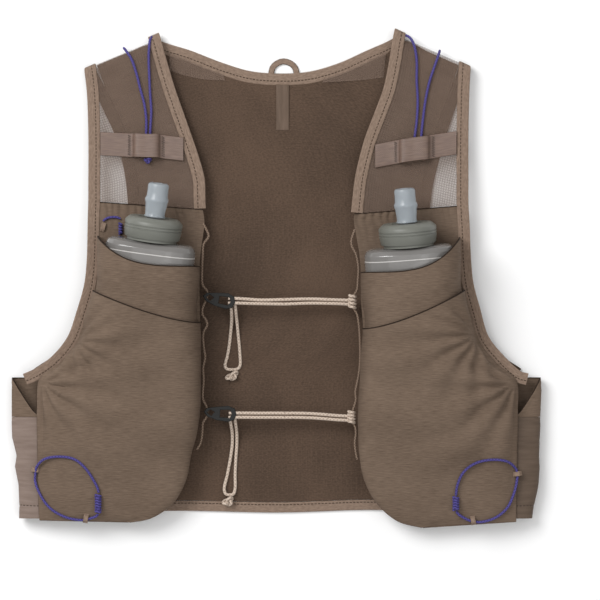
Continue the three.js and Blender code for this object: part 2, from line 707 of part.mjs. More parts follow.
// Places on what already lies below: the highest surface within a reach, plus a lift.
const sight = new THREE.Raycaster();
function resting(place, names, reach, lift) {
  const below = names.map(name => vest.getObjectByName(name));
  const steps = [-1, 0, 1];
  const tops = steps.flatMap(i => steps.map(j => {
    const start = new THREE.Vector3(place.x + i * reach, place.y + j * reach, VEST_LENGTH);
    sight.set(start, UP.clone().negate());
    const hits = sight.intersectObjects(below);
    return hits.length ? hits[0].point.z : 0;
  }));
  return place.clone().setZ(Math.max(...tops) + lift);
}

const routed = rows => rows.map(row => at(row.x, row.y, row.height));

// A cord laid on what is below it all the way.
function laid(rows, names, diameter) {
  const plan = new THREE.CatmullRomCurve3(rows.map(row => at(row.x, row.y)), false, 'centripetal');
  const count = Math.round(plan.getLength() / (1.5 * diameter));
  const lift = diameter / 2 + 3 * CLEARANCE;
  const places = plan.getSpacedPoints(count).map(place => resting(place, names, diameter, lift));
  return places.map((place, i) => place.clone().setZ(
    Math.max(...places.slice(Math.max(i - 1, 0), i + 2).map(near => near.z)),
  ));
}

const ROUTE = ['x', 'y', 'height'];
const PLAN = ['x', 'y'];

// The lacing cords wave along the inner edges of the fronts.
const LACING = {
  left: table(PLAN, [
    [-0.1383, 0.1117],
    [-0.1326, 0.0996],
    [-0.1278, 0.0855],
    [-0.1373, 0.0694],
    [-0.1390, 0.0473],
    [-0.1402, 0.0211],
    [-0.1402, -0.0070],
    [-0.1383, -0.0151],
    [-0.1307, -0.0252],
    [-0.1307, -0.0372],
    [-0.1345, -0.0473],
    [-0.1392, -0.0594],
    [-0.1392, -0.0734],
    [-0.1326, -0.0835],
    [-0.1307, -0.0936],
    [-0.1373, -0.1076],
    [-0.1383, -0.1237],
    [-0.1364, -0.1439],
    [-0.1345, -0.1579],
    [-0.1383, -0.1801],
    [-0.1373, -0.2042],
    [-0.1386, -0.2243],
    [-0.1383, -0.2445],
    [-0.1316, -0.2586],
    [-0.1297, -0.2706],
    [-0.1326, -0.2807],
    [-0.1386, -0.2907],
    [-0.1396, -0.3048],
    [-0.1409, -0.3209],
    [-0.1439, -0.3330],
    [-0.1506, -0.3451],
  ]),
  right: table(PLAN, [
    [0.1496, 0.0996],
    [0.1430, 0.0775],
    [0.1439, 0.0654],
    [0.1515, 0.0493],
    [0.1562, 0.0231],
    [0.1553, -0.0030],
    [0.1534, -0.0231],
    [0.1458, -0.0372],
    [0.1439, -0.0473],
    [0.1458, -0.0573],
    [0.1534, -0.0714],
    [0.1572, -0.0936],
    [0.1591, -0.1237],
    [0.1595, -0.1539],
    [0.1581, -0.1841],
    [0.1544, -0.2082],
    [0.1506, -0.2284],
    [0.1515, -0.2445],
    [0.1468, -0.2626],
    [0.1430, -0.2746],
    [0.1430, -0.2867],
    [0.1500, -0.2988],
    [0.1515, -0.3109],
    [0.1496, -0.3310],
    [0.1515, -0.3511],
    [0.1544, -0.3652],
  ]),
};
const CHEST_LEVEL = frontLevel(ARMHOLE_END);

function addLacing(side) {
  const places = LACING[side].map(row => at(row.x, row.y, CHEST_LEVEL));
  add(`${side}_lacing_cord`, cord(places, LACE_DIAMETER), laceCloth);
}

// The shoulder cords run from a knot, under the raised webbing, along the strap and over the fold.
const SHOULDER_CORDS = {
  left_shoulder_cord_inner: table(ROUTE, [
    [-0.2386, 0.2449, 15.6],
    [-0.2386, 0.2686, 15],
    [-0.2386, 0.2948, 14.4],
    [-0.2367, 0.3390, 13.7],
    [-0.2386, 0.3692, 13.3],
    [-0.2405, 0.4095, 12.9],
    [-0.2415, 0.4497, 12.6],
    [-0.2405, 0.4698, 12.4],
    [-0.2394, 0.4809, 11.2],
    [-0.2367, 0.4875, 8],
    [-0.2301, 0.4907, 4.5],
  ]),
  left_shoulder_cord_outer: table(ROUTE, [
    [-0.2466, 0.2449, 15.6],
    [-0.2464, 0.2686, 15],
    [-0.2462, 0.2948, 14.4],
    [-0.2462, 0.3229, 13.9],
    [-0.2500, 0.3531, 13.5],
    [-0.2576, 0.3833, 13.1],
    [-0.2652, 0.4155, 12.8],
    [-0.2746, 0.4437, 12.6],
    [-0.2812, 0.4547, 12.2],
    [-0.2869, 0.4632, 8.6],
    [-0.2898, 0.4666, 5],
  ]),
  right_shoulder_cord_inner: table(ROUTE, [
    [0.2633, 0.2586, 15.2],
    [0.2633, 0.2847, 14.6],
    [0.2670, 0.3189, 14],
    [0.2689, 0.3592, 13.4],
    [0.2670, 0.3994, 13],
    [0.2670, 0.4396, 12.7],
    [0.2633, 0.4658, 12.5],
    [0.2585, 0.4799, 12.2],
    [0.2528, 0.4879, 10],
    [0.2443, 0.4928, 5.5],
  ]),
  right_shoulder_cord_outer: table(ROUTE, [
    [0.2746, 0.2586, 15.2],
    [0.2756, 0.2867, 14.6],
    [0.2784, 0.3189, 14],
    [0.2841, 0.3632, 13.4],
    [0.2917, 0.3994, 13],
    [0.2992, 0.4235, 12.8],
    [0.3059, 0.4437, 12.4],
    [0.3093, 0.4547, 9.5],
    [0.3112, 0.4614, 5],
  ]),
};
const SHOULDER_KNOTS = {
  left_shoulder_knot: { place: at(-0.2430, 0.2384, 17), size: new THREE.Vector3(7, 6, 5) },
  right_shoulder_knot: { place: at(0.2689, 0.2495, 16), size: new THREE.Vector3(8.5, 5, 4) },
};

function addShoulderCords() {
  for (const [name, rows] of Object.entries(SHOULDER_CORDS)) {
    add(name, cord(routed(rows), SHOULDER_DIAMETER), purple);
  }
  for (const [name, { place, size }] of Object.entries(SHOULDER_KNOTS)) {
    add(name, knot(place, size), purple);
  }
}

// The hem cords: a ring through two tabs, closed by a barrel knot.
const HEM_CORDS = {
  left: table(PLAN, [
    [-0.3362, -0.4742],
    [-0.3400, -0.4785],
    [-0.3485, -0.4819],
    [-0.3598, -0.4859],
    [-0.3712, -0.4865],
    [-0.3996, -0.4799],
    [-0.4280, -0.4618],
    [-0.4470, -0.4336],
    [-0.4564, -0.4054],
    [-0.4553, -0.3934],
    [-0.4545, -0.3853],
    [-0.4517, -0.3773],
    [-0.4375, -0.3632],
    [-0.4091, -0.3581],
    [-0.3807, -0.3632],
    [-0.3598, -0.3813],
    [-0.3447, -0.4054],
    [-0.3371, -0.4215],
    [-0.3352, -0.4308],
  ]),
  right: table(PLAN, [
    [0.3409, -0.4682],
    [0.3456, -0.4748],
    [0.3542, -0.4809],
    [0.3655, -0.4869],
    [0.3731, -0.4891],
    [0.3864, -0.4907],
    [0.4148, -0.4819],
    [0.4375, -0.4618],
    [0.4508, -0.4316],
    [0.4564, -0.4054],
    [0.4568, -0.3934],
    [0.4545, -0.3843],
    [0.4394, -0.3692],
    [0.4110, -0.3642],
    [0.3769, -0.3712],
    [0.3542, -0.3893],
    [0.3428, -0.4155],
    [0.3400, -0.4368],
  ]),
};
const HEM_KNOTS = {
  left: { place: at(-0.3362, -0.4527), size: new THREE.Vector3(6, 16.8, 5) },
  right: { place: at(0.3400, -0.4527), size: new THREE.Vector3(6, 13, 5) },
};
const HEM_TABS = {
  left_hem_tab_upper: { place: at(-0.4545, -0.3853), side: 'left', turn: -8 },
  left_hem_tab_lower: { place: at(-0.3598, -0.4829), side: 'left', turn: 80 },
  right_hem_tab_upper: { place: at(0.4568, -0.3934), side: 'right', turn: 8 },
  right_hem_tab_lower: { place: at(0.3731, -0.4869), side: 'right', turn: -80 },
};
const LOW_CLOTH = side => [`${side}_front_pocket`, `${side}_side_panel`, `${side}_pocket_back`];

function addTab(name, place, turn, material) {
  const tab = add(name, new THREE.BoxGeometry(TAB_LENGTH, TAB_WIDTH, TAB_THICKNESS), material);
  tab.position.copy(place);
  tab.rotation.z = radians(turn);
}

function addHemCords() {
  for (const [name, { place, side, turn }] of Object.entries(HEM_TABS)) {
    const lift = TAB_THICKNESS / 2 + CLEARANCE;
    addTab(name, resting(place, LOW_CLOTH(side), TAB_LENGTH / 2, lift), turn, binding);
  }
  vest.updateMatrixWorld(true);
  for (const side of ['left', 'right']) {
    const { place, size } = HEM_KNOTS[side];
    add(`${side}_hem_knot`, knot(resting(place, LOW_CLOTH(side), size.x, size.z / 2), size, 0.3), purple);
    const below = [...LOW_CLOTH(side), `${side}_hem_tab_upper`, `${side}_hem_tab_lower`];
    add(`${side}_hem_cord`, cord(laid(HEM_CORDS[side], below, HEM_DIAMETER), HEM_DIAMETER), purple);
  }
}

// A short cord beside the left flask.
const FLASK_CORD = table(PLAN, [
  [-0.3277, 0.1157],
  [-0.3201, 0.1217],
  [-0.3106, 0.1237],
  [-0.3011, 0.1233],
  [-0.2945, 0.1205],
]);

function addFlaskCord() {
  const below = ['left_pocket_back'];
  const tab = resting(at(-0.3277, 0.1036), below, TAB_WIDTH / 2, TAB_THICKNESS / 2 + CLEARANCE);
  addTab('left_flask_tab', tab, 75, binding);
  add('left_flask_cord', cord(laid(FLASK_CORD, below, LACE_DIAMETER), LACE_DIAMETER), purple);
  const size = new THREE.Vector3(5, 11, 4);
  const place = resting(at(-0.2945, 0.1006), below, size.x / 2, size.z / 2 + CLEARANCE);
  add('left_flask_knot', knot(place, size, 0.3), purple);
}

// Chest hooks: the outline and its two openings as shares of the length and the width.
const HOOK_OUTLINE = table(PLAN, [
  [-0.5, 0.04],
  [-0.4, 0.28],
  [-0.08, 0.4],
  [0.24, 0.5],
  [0.44, 0.36],
  [0.5, 0],
  [0.44, -0.36],
  [0.26, -0.5],
  [-0.1, -0.44],
  [-0.38, -0.26],
]);
const HOOK_RING = table(PLAN, [
  [-0.4, 0],
  [-0.3, 0.2],
  [-0.16, 0.06],
  [-0.26, -0.2],
]);
const HOOK_WINDOW = table(PLAN, [
  [0, 0.22],
  [0.3, 0.26],
  [0.36, 0],
  [0.3, -0.26],
  [0, -0.24],
]);
const HOOK_LEVEL = CHEST_LEVEL + LACE_DIAMETER / 2 + CLEARANCE;
const HOOKS = {
  upper: { place: at(-0.1080, -0.0423, HOOK_LEVEL), turn: -11 },
  lower: { place: at(-0.1060, -0.2716, HOOK_LEVEL), turn: -4 },
};

function addHook(name) {
  const corners = rows => rows.map(row => new THREE.Vector2(row.x * HOOK_LENGTH, row.y * HOOK_WIDTH));
  const outline = new THREE.Shape(corners(HOOK_OUTLINE).reverse());
  outline.holes.push(new THREE.Path(corners(HOOK_RING)), new THREE.Path(corners(HOOK_WINDOW)));
  const plate = new THREE.ExtrudeGeometry(outline, { depth: HOOK_THICKNESS, bevelEnabled: false });
  const hook = add(`${name}_hook`, plate, hookPlastic);
  hook.position.copy(HOOKS[name].place);
  hook.rotation.z = radians(HOOKS[name].turn);
}

// Chest cords: two strands from each hook to the right lacing, and a knotted loop that hangs from it.
const STRANDS = {
  upper_strand_upper: table(ROUTE, [
    [-0.0750, -0.0402, 19.6],
    [-0.0530, -0.0416, 18.8],
    [-0.0303, -0.0433, 18.2],
    [0.0170, -0.0423, 17.4],
    [0.0644, -0.0412, 17],
    [0.1212, -0.0433, 16.8],
    [0.1407, -0.0439, 16.6],
  ]),
  upper_strand_lower: table(ROUTE, [
    [-0.0754, -0.0493, 19.6],
    [-0.0530, -0.0501, 18.8],
    [-0.0303, -0.0507, 18.2],
    [0.0170, -0.0513, 17.4],
    [0.0644, -0.0497, 17],
    [0.1212, -0.0509, 16.8],
    [0.1409, -0.0521, 16.6],
  ]),
  lower_strand_upper: table(ROUTE, [
    [-0.0739, -0.2710, 19.6],
    [-0.0530, -0.2712, 18.8],
    [-0.0303, -0.2714, 18.2],
    [0.0076, -0.2714, 17.4],
    [0.0644, -0.2722, 17],
    [0.1212, -0.2767, 16.8],
    [0.1398, -0.2775, 16.6],
  ]),
  lower_strand_lower: table(ROUTE, [
    [-0.0742, -0.2795, 19.6],
    [-0.0530, -0.2797, 18.8],
    [-0.0303, -0.2799, 18.2],
    [0.0076, -0.2799, 17.4],
    [0.0644, -0.2807, 17],
    [0.1212, -0.2851, 16.8],
    [0.1398, -0.2859, 16.6],
  ]),
};
const LOOPS = {
  upper_loop_cord: table(ROUTE, [
    [-0.0871, -0.0503, 16.2],
    [-0.0848, -0.0634, 15.4],
    [-0.0843, -0.0835, 9],
    [-0.0862, -0.1076, 4.4],
    [-0.0890, -0.1338, 3.5],
    [-0.0928, -0.1579, 3.4],
    [-0.0970, -0.1761, 3.4],
    [-0.0938, -0.1825, 3.4],
    [-0.0833, -0.1841, 3.4],
    [-0.0729, -0.1825, 3.4],
    [-0.0686, -0.1761, 3.4],
    [-0.0691, -0.1479, 3.4],
    [-0.0720, -0.1137, 4.4],
    [-0.0746, -0.0835, 9],
    [-0.0765, -0.0634, 15.4],
    [-0.0780, -0.0503, 16.2],
  ]),
  lower_loop_cord: table(ROUTE, [
    [-0.0881, -0.2777, 16.2],
    [-0.0862, -0.2907, 15.4],
    [-0.0833, -0.3109, 8.5],
    [-0.0833, -0.3350, 4.2],
    [-0.0871, -0.3652, 3.6],
    [-0.0928, -0.3974, 3.6],
    [-0.0985, -0.4256, 4],
    [-0.0956, -0.4356, 4.2],
    [-0.0881, -0.4376, 4.2],
    [-0.0811, -0.4356, 4.2],
    [-0.0780, -0.4256, 4],
    [-0.0777, -0.3954, 3.6],
    [-0.0765, -0.3652, 3.6],
    [-0.0746, -0.3350, 4.2],
    [-0.0746, -0.3109, 8.5],
    [-0.0769, -0.2907, 15.4],
    [-0.0784, -0.2777, 16.2],
  ]),
};
const LOOP_KNOTS = {
  upper_loop_knot: { place: at(-0.0833, -0.1972, 5.2), size: new THREE.Vector3(13, 8, 6) },
  lower_loop_knot: { place: at(-0.0909, -0.4507, 6.0), size: new THREE.Vector3(11, 8.6, 7) },
};

function addChestCords() {
  for (const [name, rows] of Object.entries(STRANDS)) {
    add(name, cord(routed(rows), STERNUM_DIAMETER), beige);
  }
  for (const [name, rows] of Object.entries(LOOPS)) {
    add(name, cord(routed(rows), STERNUM_DIAMETER), beige);
  }
  for (const [name, { place, size }] of Object.entries(LOOP_KNOTS)) {
    add(name, knot(place, size), beige);
  }
}

// The hang loop stands out from the neck binding, and its tape runs down the back's inner side.
const NECK_FOOT = BACK_TOP[6].y * VEST_LENGTH;
const HANG_LOOP = table(['x', 'rise'], [
  [-0.0076, 3.0],
  [-0.0051, 4.7],
  [0.0019, 6.9],
  [0.0144, 8.3],
  [0.0275, 6.9],
  [0.0345, 4.7],
  [0.0371, 3.0],
]);
const NECK_TAPE = table(PLAN, [
  [0.0123, 0.3922],
  [0.0123, 0.3471],
  [0.0123, 0.3008],
]);

function addHangLoop() {
  const loop = HANG_LOOP.map(({ x, rise }) => ({
    place: at(x, 0, WEBBING_THICKNESS / 2).setY(NECK_FOOT + BINDING_WIDTH + rise), normal: UP,
  }));
  const half = HANG_LOOP_WIDTH / 2;
  add('hang_loop', tape(bindingStations(loop), -half, half, WEBBING_THICKNESS), binding);
  const lift = BACK_CLOTH + CLEARANCE + CLOTH / 2;
  const run = NECK_TAPE.map(row => ({ place: at(row.x, row.y, lift), normal: UP }));
  add('neck_tape', tape(bindingStations(run), -NECK_TAPE_WIDTH / 2, NECK_TAPE_WIDTH / 2, CLOTH), binding);
}

addBackPanel();
addNeckBinding();
for (const side of ['left', 'right']) {
  addArmholeBinding(side);
  addYoke(side);
  addStrap(side);
  addWebbing(side);
  addPocketBack(side);
  addFlask(side);
  addCap(side);
  addValve(side);
  addPocket('bottle_pocket', side, BOTTLE_ROWS, 0);
  addPocket('front_pocket', side, FRONT_ROWS, LAYER_STEP);
  addSide(side);
  addLacing(side);
}
addShoulderCords();
addHemCords();
addFlaskCord();
addHook('upper');
addHook('lower');
addChestCords();
addHangLoop();

export default vest;
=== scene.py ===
"""A running hydration vest, lying on its back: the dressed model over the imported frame."""
import json
import math
import bmesh
import bpy
import numpy as np
from mathutils import Matrix, Vector, noise
from mathutils.bvhtree import BVHTree
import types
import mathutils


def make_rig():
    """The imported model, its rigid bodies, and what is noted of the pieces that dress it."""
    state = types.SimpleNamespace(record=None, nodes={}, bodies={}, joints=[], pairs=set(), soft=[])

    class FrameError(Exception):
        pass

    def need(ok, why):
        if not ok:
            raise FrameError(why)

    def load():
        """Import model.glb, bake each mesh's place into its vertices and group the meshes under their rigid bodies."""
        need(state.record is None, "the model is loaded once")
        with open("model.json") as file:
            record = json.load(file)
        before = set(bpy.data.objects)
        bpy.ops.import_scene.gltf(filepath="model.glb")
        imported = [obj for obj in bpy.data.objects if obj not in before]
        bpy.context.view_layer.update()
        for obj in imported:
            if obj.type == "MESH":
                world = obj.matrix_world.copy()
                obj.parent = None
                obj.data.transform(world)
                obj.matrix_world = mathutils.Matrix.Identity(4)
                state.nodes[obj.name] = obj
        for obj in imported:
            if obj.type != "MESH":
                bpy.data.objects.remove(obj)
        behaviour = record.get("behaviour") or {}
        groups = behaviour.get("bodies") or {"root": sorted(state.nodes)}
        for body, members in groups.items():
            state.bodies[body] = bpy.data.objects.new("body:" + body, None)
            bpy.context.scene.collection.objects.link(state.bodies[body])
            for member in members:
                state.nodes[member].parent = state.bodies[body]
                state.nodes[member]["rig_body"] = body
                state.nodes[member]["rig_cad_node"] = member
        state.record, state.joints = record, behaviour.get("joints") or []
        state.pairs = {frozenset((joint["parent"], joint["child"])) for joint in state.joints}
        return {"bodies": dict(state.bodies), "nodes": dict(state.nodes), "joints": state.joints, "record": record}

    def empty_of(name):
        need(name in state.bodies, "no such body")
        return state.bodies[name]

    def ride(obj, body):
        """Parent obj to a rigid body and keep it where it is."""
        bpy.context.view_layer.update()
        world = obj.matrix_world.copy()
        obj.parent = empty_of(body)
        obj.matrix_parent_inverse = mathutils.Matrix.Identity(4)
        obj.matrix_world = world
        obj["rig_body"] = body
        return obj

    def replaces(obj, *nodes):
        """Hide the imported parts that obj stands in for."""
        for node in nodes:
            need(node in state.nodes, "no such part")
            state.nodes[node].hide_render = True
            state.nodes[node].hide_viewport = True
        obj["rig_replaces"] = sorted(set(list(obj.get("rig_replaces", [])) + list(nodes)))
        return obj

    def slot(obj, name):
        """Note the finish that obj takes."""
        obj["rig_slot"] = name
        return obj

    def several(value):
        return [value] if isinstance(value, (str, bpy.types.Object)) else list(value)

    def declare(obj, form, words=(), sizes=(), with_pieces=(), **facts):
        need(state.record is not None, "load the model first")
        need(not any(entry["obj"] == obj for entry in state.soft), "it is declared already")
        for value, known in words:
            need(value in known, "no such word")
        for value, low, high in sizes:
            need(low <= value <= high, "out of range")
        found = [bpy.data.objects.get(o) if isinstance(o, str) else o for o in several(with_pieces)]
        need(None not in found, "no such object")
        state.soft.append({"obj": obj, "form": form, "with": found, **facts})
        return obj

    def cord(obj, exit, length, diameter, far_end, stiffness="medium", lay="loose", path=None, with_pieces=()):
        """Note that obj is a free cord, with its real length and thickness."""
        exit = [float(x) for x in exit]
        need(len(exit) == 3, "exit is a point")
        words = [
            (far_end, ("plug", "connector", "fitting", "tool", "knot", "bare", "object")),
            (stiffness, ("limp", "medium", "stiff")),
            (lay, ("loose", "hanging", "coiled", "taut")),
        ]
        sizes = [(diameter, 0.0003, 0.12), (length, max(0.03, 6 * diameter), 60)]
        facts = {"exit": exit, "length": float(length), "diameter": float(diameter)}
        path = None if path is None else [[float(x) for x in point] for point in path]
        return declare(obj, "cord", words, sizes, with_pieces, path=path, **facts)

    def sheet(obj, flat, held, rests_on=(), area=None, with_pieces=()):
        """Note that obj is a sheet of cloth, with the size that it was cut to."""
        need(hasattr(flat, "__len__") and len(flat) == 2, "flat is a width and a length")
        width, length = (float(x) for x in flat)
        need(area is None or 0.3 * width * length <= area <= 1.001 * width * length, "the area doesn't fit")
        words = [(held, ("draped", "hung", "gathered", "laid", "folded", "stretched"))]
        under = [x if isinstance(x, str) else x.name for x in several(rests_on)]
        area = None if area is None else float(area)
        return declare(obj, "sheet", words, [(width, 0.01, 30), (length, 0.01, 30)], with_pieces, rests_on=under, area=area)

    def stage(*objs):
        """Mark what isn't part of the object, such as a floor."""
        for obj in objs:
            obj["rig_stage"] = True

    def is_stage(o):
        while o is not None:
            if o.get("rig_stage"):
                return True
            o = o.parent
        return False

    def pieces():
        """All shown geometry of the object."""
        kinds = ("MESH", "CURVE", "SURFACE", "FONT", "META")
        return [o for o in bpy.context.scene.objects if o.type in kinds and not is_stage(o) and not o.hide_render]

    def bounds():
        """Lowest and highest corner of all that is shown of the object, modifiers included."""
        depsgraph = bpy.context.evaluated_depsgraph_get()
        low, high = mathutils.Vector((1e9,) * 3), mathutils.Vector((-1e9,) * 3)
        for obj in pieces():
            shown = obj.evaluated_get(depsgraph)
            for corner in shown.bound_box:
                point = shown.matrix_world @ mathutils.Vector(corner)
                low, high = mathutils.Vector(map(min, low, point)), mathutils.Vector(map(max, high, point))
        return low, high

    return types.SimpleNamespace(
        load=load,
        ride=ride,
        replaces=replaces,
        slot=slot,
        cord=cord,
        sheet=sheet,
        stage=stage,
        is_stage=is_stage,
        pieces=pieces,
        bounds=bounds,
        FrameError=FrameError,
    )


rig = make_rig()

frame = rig.load()
cad_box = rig.bounds()

# Sizes in millimetres, as in the part's source
VEST_WIDTH = 449
VEST_LENGTH = 422
CLOTH = 1.2
BACK_CLOTH = 1.6
CLEARANCE = 0.3
BINDING_WIDTH = 9
BINDING_THICKNESS = 2
HEM_WIDTH = 9
WEBBING_WIDTH = 20
WEBBING_THICKNESS = 1.4
LOOP_RISE = 5
NECK_TAPE_WIDTH = 11
HANG_LOOP_WIDTH = 5
STRAP_GAP = 8
TORSO_GAP = 14
SHOULDER_FOLD = 8
SIDE_FULLNESS = 2.5
CAP_DIAMETER = 49
CAP_HEIGHT = 17.5
VALVE_DIAMETER = 20
VALVE_LENGTH = 29
NECK_DIAMETER = 44
NECK_HEIGHT = 2.6
FLASK_WIDTH = 77
FLASK_LENGTH = 150
FLASK_TILT = math.radians(5.5)
CAP_SEAT = 0.6
LACE_DIAMETER = 2
SHOULDER_DIAMETER = 2.2
HEM_DIAMETER = 2.2
STERNUM_DIAMETER = 2.8
HOOK_LENGTH = 28
HOOK_WIDTH = 13.5
HOOK_THICKNESS = 3.6

# Tables of shares of the vest's width and length, as in the part's source
FRONT = [
    (-0.238, 0.478, -0.345, 0.431, 0.242, 0.486, 0.350, 0.436),
    (-0.211, 0.379, -0.339, 0.375, 0.223, 0.379, 0.347, 0.379),
    (-0.178, 0.279, -0.336, 0.279, 0.188, 0.279, 0.345, 0.279),
    (-0.155, 0.198, -0.336, 0.202, 0.169, 0.198, 0.345, 0.202),
    (-0.153, 0.141, -0.336, 0.156, 0.162, 0.132, 0.345, 0.148),
    (-0.141, 0.102, -0.337, 0.114, 0.155, 0.096, 0.347, 0.110),
    (-0.145, 0.025, -0.339, 0.033, 0.161, 0.013, 0.350, 0.033),
    (-0.145, -0.031, -0.344, -0.015, 0.161, -0.043, 0.355, -0.015),
    (-0.144, -0.088, -0.358, -0.069, 0.165, -0.100, 0.367, -0.063),
    (-0.143, -0.144, -0.378, -0.128, 0.164, -0.154, 0.385, -0.126),
    (-0.143, -0.204, -0.411, -0.172, 0.159, -0.208, 0.419, -0.172),
    (-0.143, -0.253, -0.447, -0.200, 0.156, -0.255, 0.455, -0.206),
    (-0.148, -0.297, -0.453, -0.265, 0.157, -0.301, 0.458, -0.269),
    (-0.161, -0.355, -0.452, -0.335, 0.161, -0.355, 0.457, -0.339),
    (-0.169, -0.401, -0.452, -0.401, 0.167, -0.403, 0.456, -0.403),
    (-0.193, -0.450, -0.450, -0.446, 0.189, -0.450, 0.455, -0.448),
    (-0.235, -0.482, -0.449, -0.472, 0.229, -0.488, 0.455, -0.474),
    (-0.280, -0.492, -0.448, -0.488, 0.280, -0.503, 0.455, -0.491),
]
BACK_SIDE = [
    (-0.449, 0.455, -0.463), (-0.451, 0.457, -0.340), (-0.449, 0.455, -0.200), (-0.372, 0.378, -0.142),
    (-0.280, 0.300, -0.013), (-0.262, 0.273, 0.100), (-0.264, 0.277, 0.180), (-0.282, 0.300, 0.279),
    (-0.315, 0.325, 0.360), (-0.341, 0.347, 0.424),
]
BACK_TOP = [
    (-0.341, 0.424), (-0.281, 0.450), (-0.236, 0.466), (-0.165, 0.440), (-0.112, 0.418), (-0.052, 0.399),
    (0.008, 0.394), (0.066, 0.398), (0.123, 0.415), (0.174, 0.439), (0.241, 0.474), (0.288, 0.452),
    (0.347, 0.424),
]
HEM_LINE = [
    (-0.449, -0.463), (-0.211, -0.449), (0.008, -0.452), (0.200, -0.447), (0.455, -0.463),
]
SIDE_REACH = [
    (-0.180, -0.500, 0.500), (-0.225, -0.502, 0.504), (-0.320, -0.502, 0.500), (-0.357, -0.493, 0.500),
    (-0.380, -0.496, 0.501), (-0.415, -0.489, 0.498), (-0.460, -0.488, 0.490), (-0.486, -0.488, 0.486),
]
YOKE = [
    (-0.203, 0.458, -0.203, 0.421, 0.209, 0.459, 0.205, 0.407),
    (-0.175, 0.445, -0.170, 0.410, 0.172, 0.438, 0.165, 0.402),
    (-0.140, 0.429, -0.135, 0.403, 0.130, 0.418, 0.125, 0.399),
    (-0.100, 0.413, -0.097, 0.401, 0.090, 0.404, 0.088, 0.397),
]
WEBBING = [
    (-0.333, 0.272, 0.342, 0.274, 0), (-0.276, 0.269, 0.296, 0.266, 0),
    (-0.270, 0.269, 0.290, 0.265, 0.2), (-0.266, 0.269, 0.286, 0.264, 1),
    (-0.245, 0.268, 0.262, 0.261, 1.08), (-0.225, 0.268, 0.238, 0.257, 1),
    (-0.221, 0.267, 0.234, 0.256, 0.2), (-0.215, 0.266, 0.228, 0.255, 0),
    (-0.176, 0.261, 0.188, 0.247, 0),
]
FLASK_SECTIONS = [
    (0, 0.86, 0.62), (0.012, 0.95, 0.84), (0.035, 0.99, 0.95), (0.08, 1, 0.985), (0.3, 1, 0.985),
    (0.6, 1, 0.98), (0.85, 0.99, 0.96), (0.96, 0.95, 0.8), (1, 0.86, 0.45),
]
BOTTLE_ROWS = [
    (6.0, 5.35, 4, 3.6, 0, 1, 1), (6.4, 5.9, 3, 3.6, 0, 1, 1), (6.9, 6.5, 2, 3.6, 0.5, 1, 1),
    (7.5, 7.0, 1.5, 3.2, 1, 1, 1), (8.15, 7.45, 1.5, 3.2, 1, 1, 1),
]
FRONT_ROWS = [
    (8.0, 7.15, 1.5, 3.2, 0, 1, 1), (8.5, 8.1, 1.2, 3, 0, 1, 1), (9, 8.9, 1, 2.8, 0, 1, 1),
    (9.6, 9.7, 1, 2.4, 0, 1, 1), (10.3, 10.4, 1, 2.1, 0, 1, 1), (11, 11, 1, 2, 0, 1, 0),
    (12, 12, 1, 2, 0, 1, 0), (13, 13, 1, 2, 0, 1, 0), (14, 14, 1, 2, 0, 0.9, 0),
    (15, 15, 1, 2, 0, 0.7, 0), (16, 16, 1, 2, 0, 0.4, 0), (16.9, 16.9, 1, 2, 0, 0.08, 0),
]
LACING = {
    "left": [
        (-0.1383, 0.1117), (-0.1326, 0.0996), (-0.1278, 0.0855), (-0.1373, 0.0694), (-0.1390, 0.0473),
        (-0.1402, 0.0211), (-0.1402, -0.0070), (-0.1383, -0.0151), (-0.1307, -0.0252),
        (-0.1307, -0.0372), (-0.1345, -0.0473), (-0.1392, -0.0594), (-0.1392, -0.0734),
        (-0.1326, -0.0835), (-0.1307, -0.0936), (-0.1373, -0.1076), (-0.1383, -0.1237),
        (-0.1364, -0.1439), (-0.1345, -0.1579), (-0.1383, -0.1801), (-0.1373, -0.2042),
        (-0.1386, -0.2243), (-0.1383, -0.2445), (-0.1316, -0.2586), (-0.1297, -0.2706),
        (-0.1326, -0.2807), (-0.1386, -0.2907), (-0.1396, -0.3048), (-0.1409, -0.3209),
        (-0.1439, -0.3330), (-0.1506, -0.3451),
    ],
    "right": [
        (0.1496, 0.0996), (0.1430, 0.0775), (0.1439, 0.0654), (0.1515, 0.0493), (0.1562, 0.0231),
        (0.1553, -0.0030), (0.1534, -0.0231), (0.1458, -0.0372), (0.1439, -0.0473), (0.1458, -0.0573),
        (0.1534, -0.0714), (0.1572, -0.0936), (0.1591, -0.1237), (0.1595, -0.1539), (0.1581, -0.1841),
        (0.1544, -0.2082), (0.1506, -0.2284), (0.1515, -0.2445), (0.1468, -0.2626), (0.1430, -0.2746),
        (0.1430, -0.2867), (0.1500, -0.2988), (0.1515, -0.3109), (0.1496, -0.3310), (0.1515, -0.3511),
        (0.1544, -0.3652),
    ],
}
HEM_CORDS = {
    "left": [
        (-0.3362, -0.4742), (-0.3400, -0.4785), (-0.3485, -0.4819), (-0.3598, -0.4859),
        (-0.3712, -0.4865), (-0.3996, -0.4799), (-0.4280, -0.4618), (-0.4470, -0.4336),
        (-0.4564, -0.4054), (-0.4553, -0.3934), (-0.4545, -0.3853), (-0.4517, -0.3773),
        (-0.4375, -0.3632), (-0.4091, -0.3581), (-0.3807, -0.3632), (-0.3598, -0.3813),
        (-0.3447, -0.4054), (-0.3371, -0.4215), (-0.3352, -0.4308),
    ],
    "right": [
        (0.3409, -0.4682), (0.3456, -0.4748), (0.3542, -0.4809), (0.3655, -0.4869), (0.3731, -0.4891),
        (0.3864, -0.4907), (0.4148, -0.4819), (0.4375, -0.4618), (0.4508, -0.4316), (0.4564, -0.4054),
        (0.4568, -0.3934), (0.4545, -0.3843), (0.4394, -0.3692), (0.4110, -0.3642), (0.3769, -0.3712),
        (0.3542, -0.3893), (0.3428, -0.4155), (0.3400, -0.4368),
    ],
}
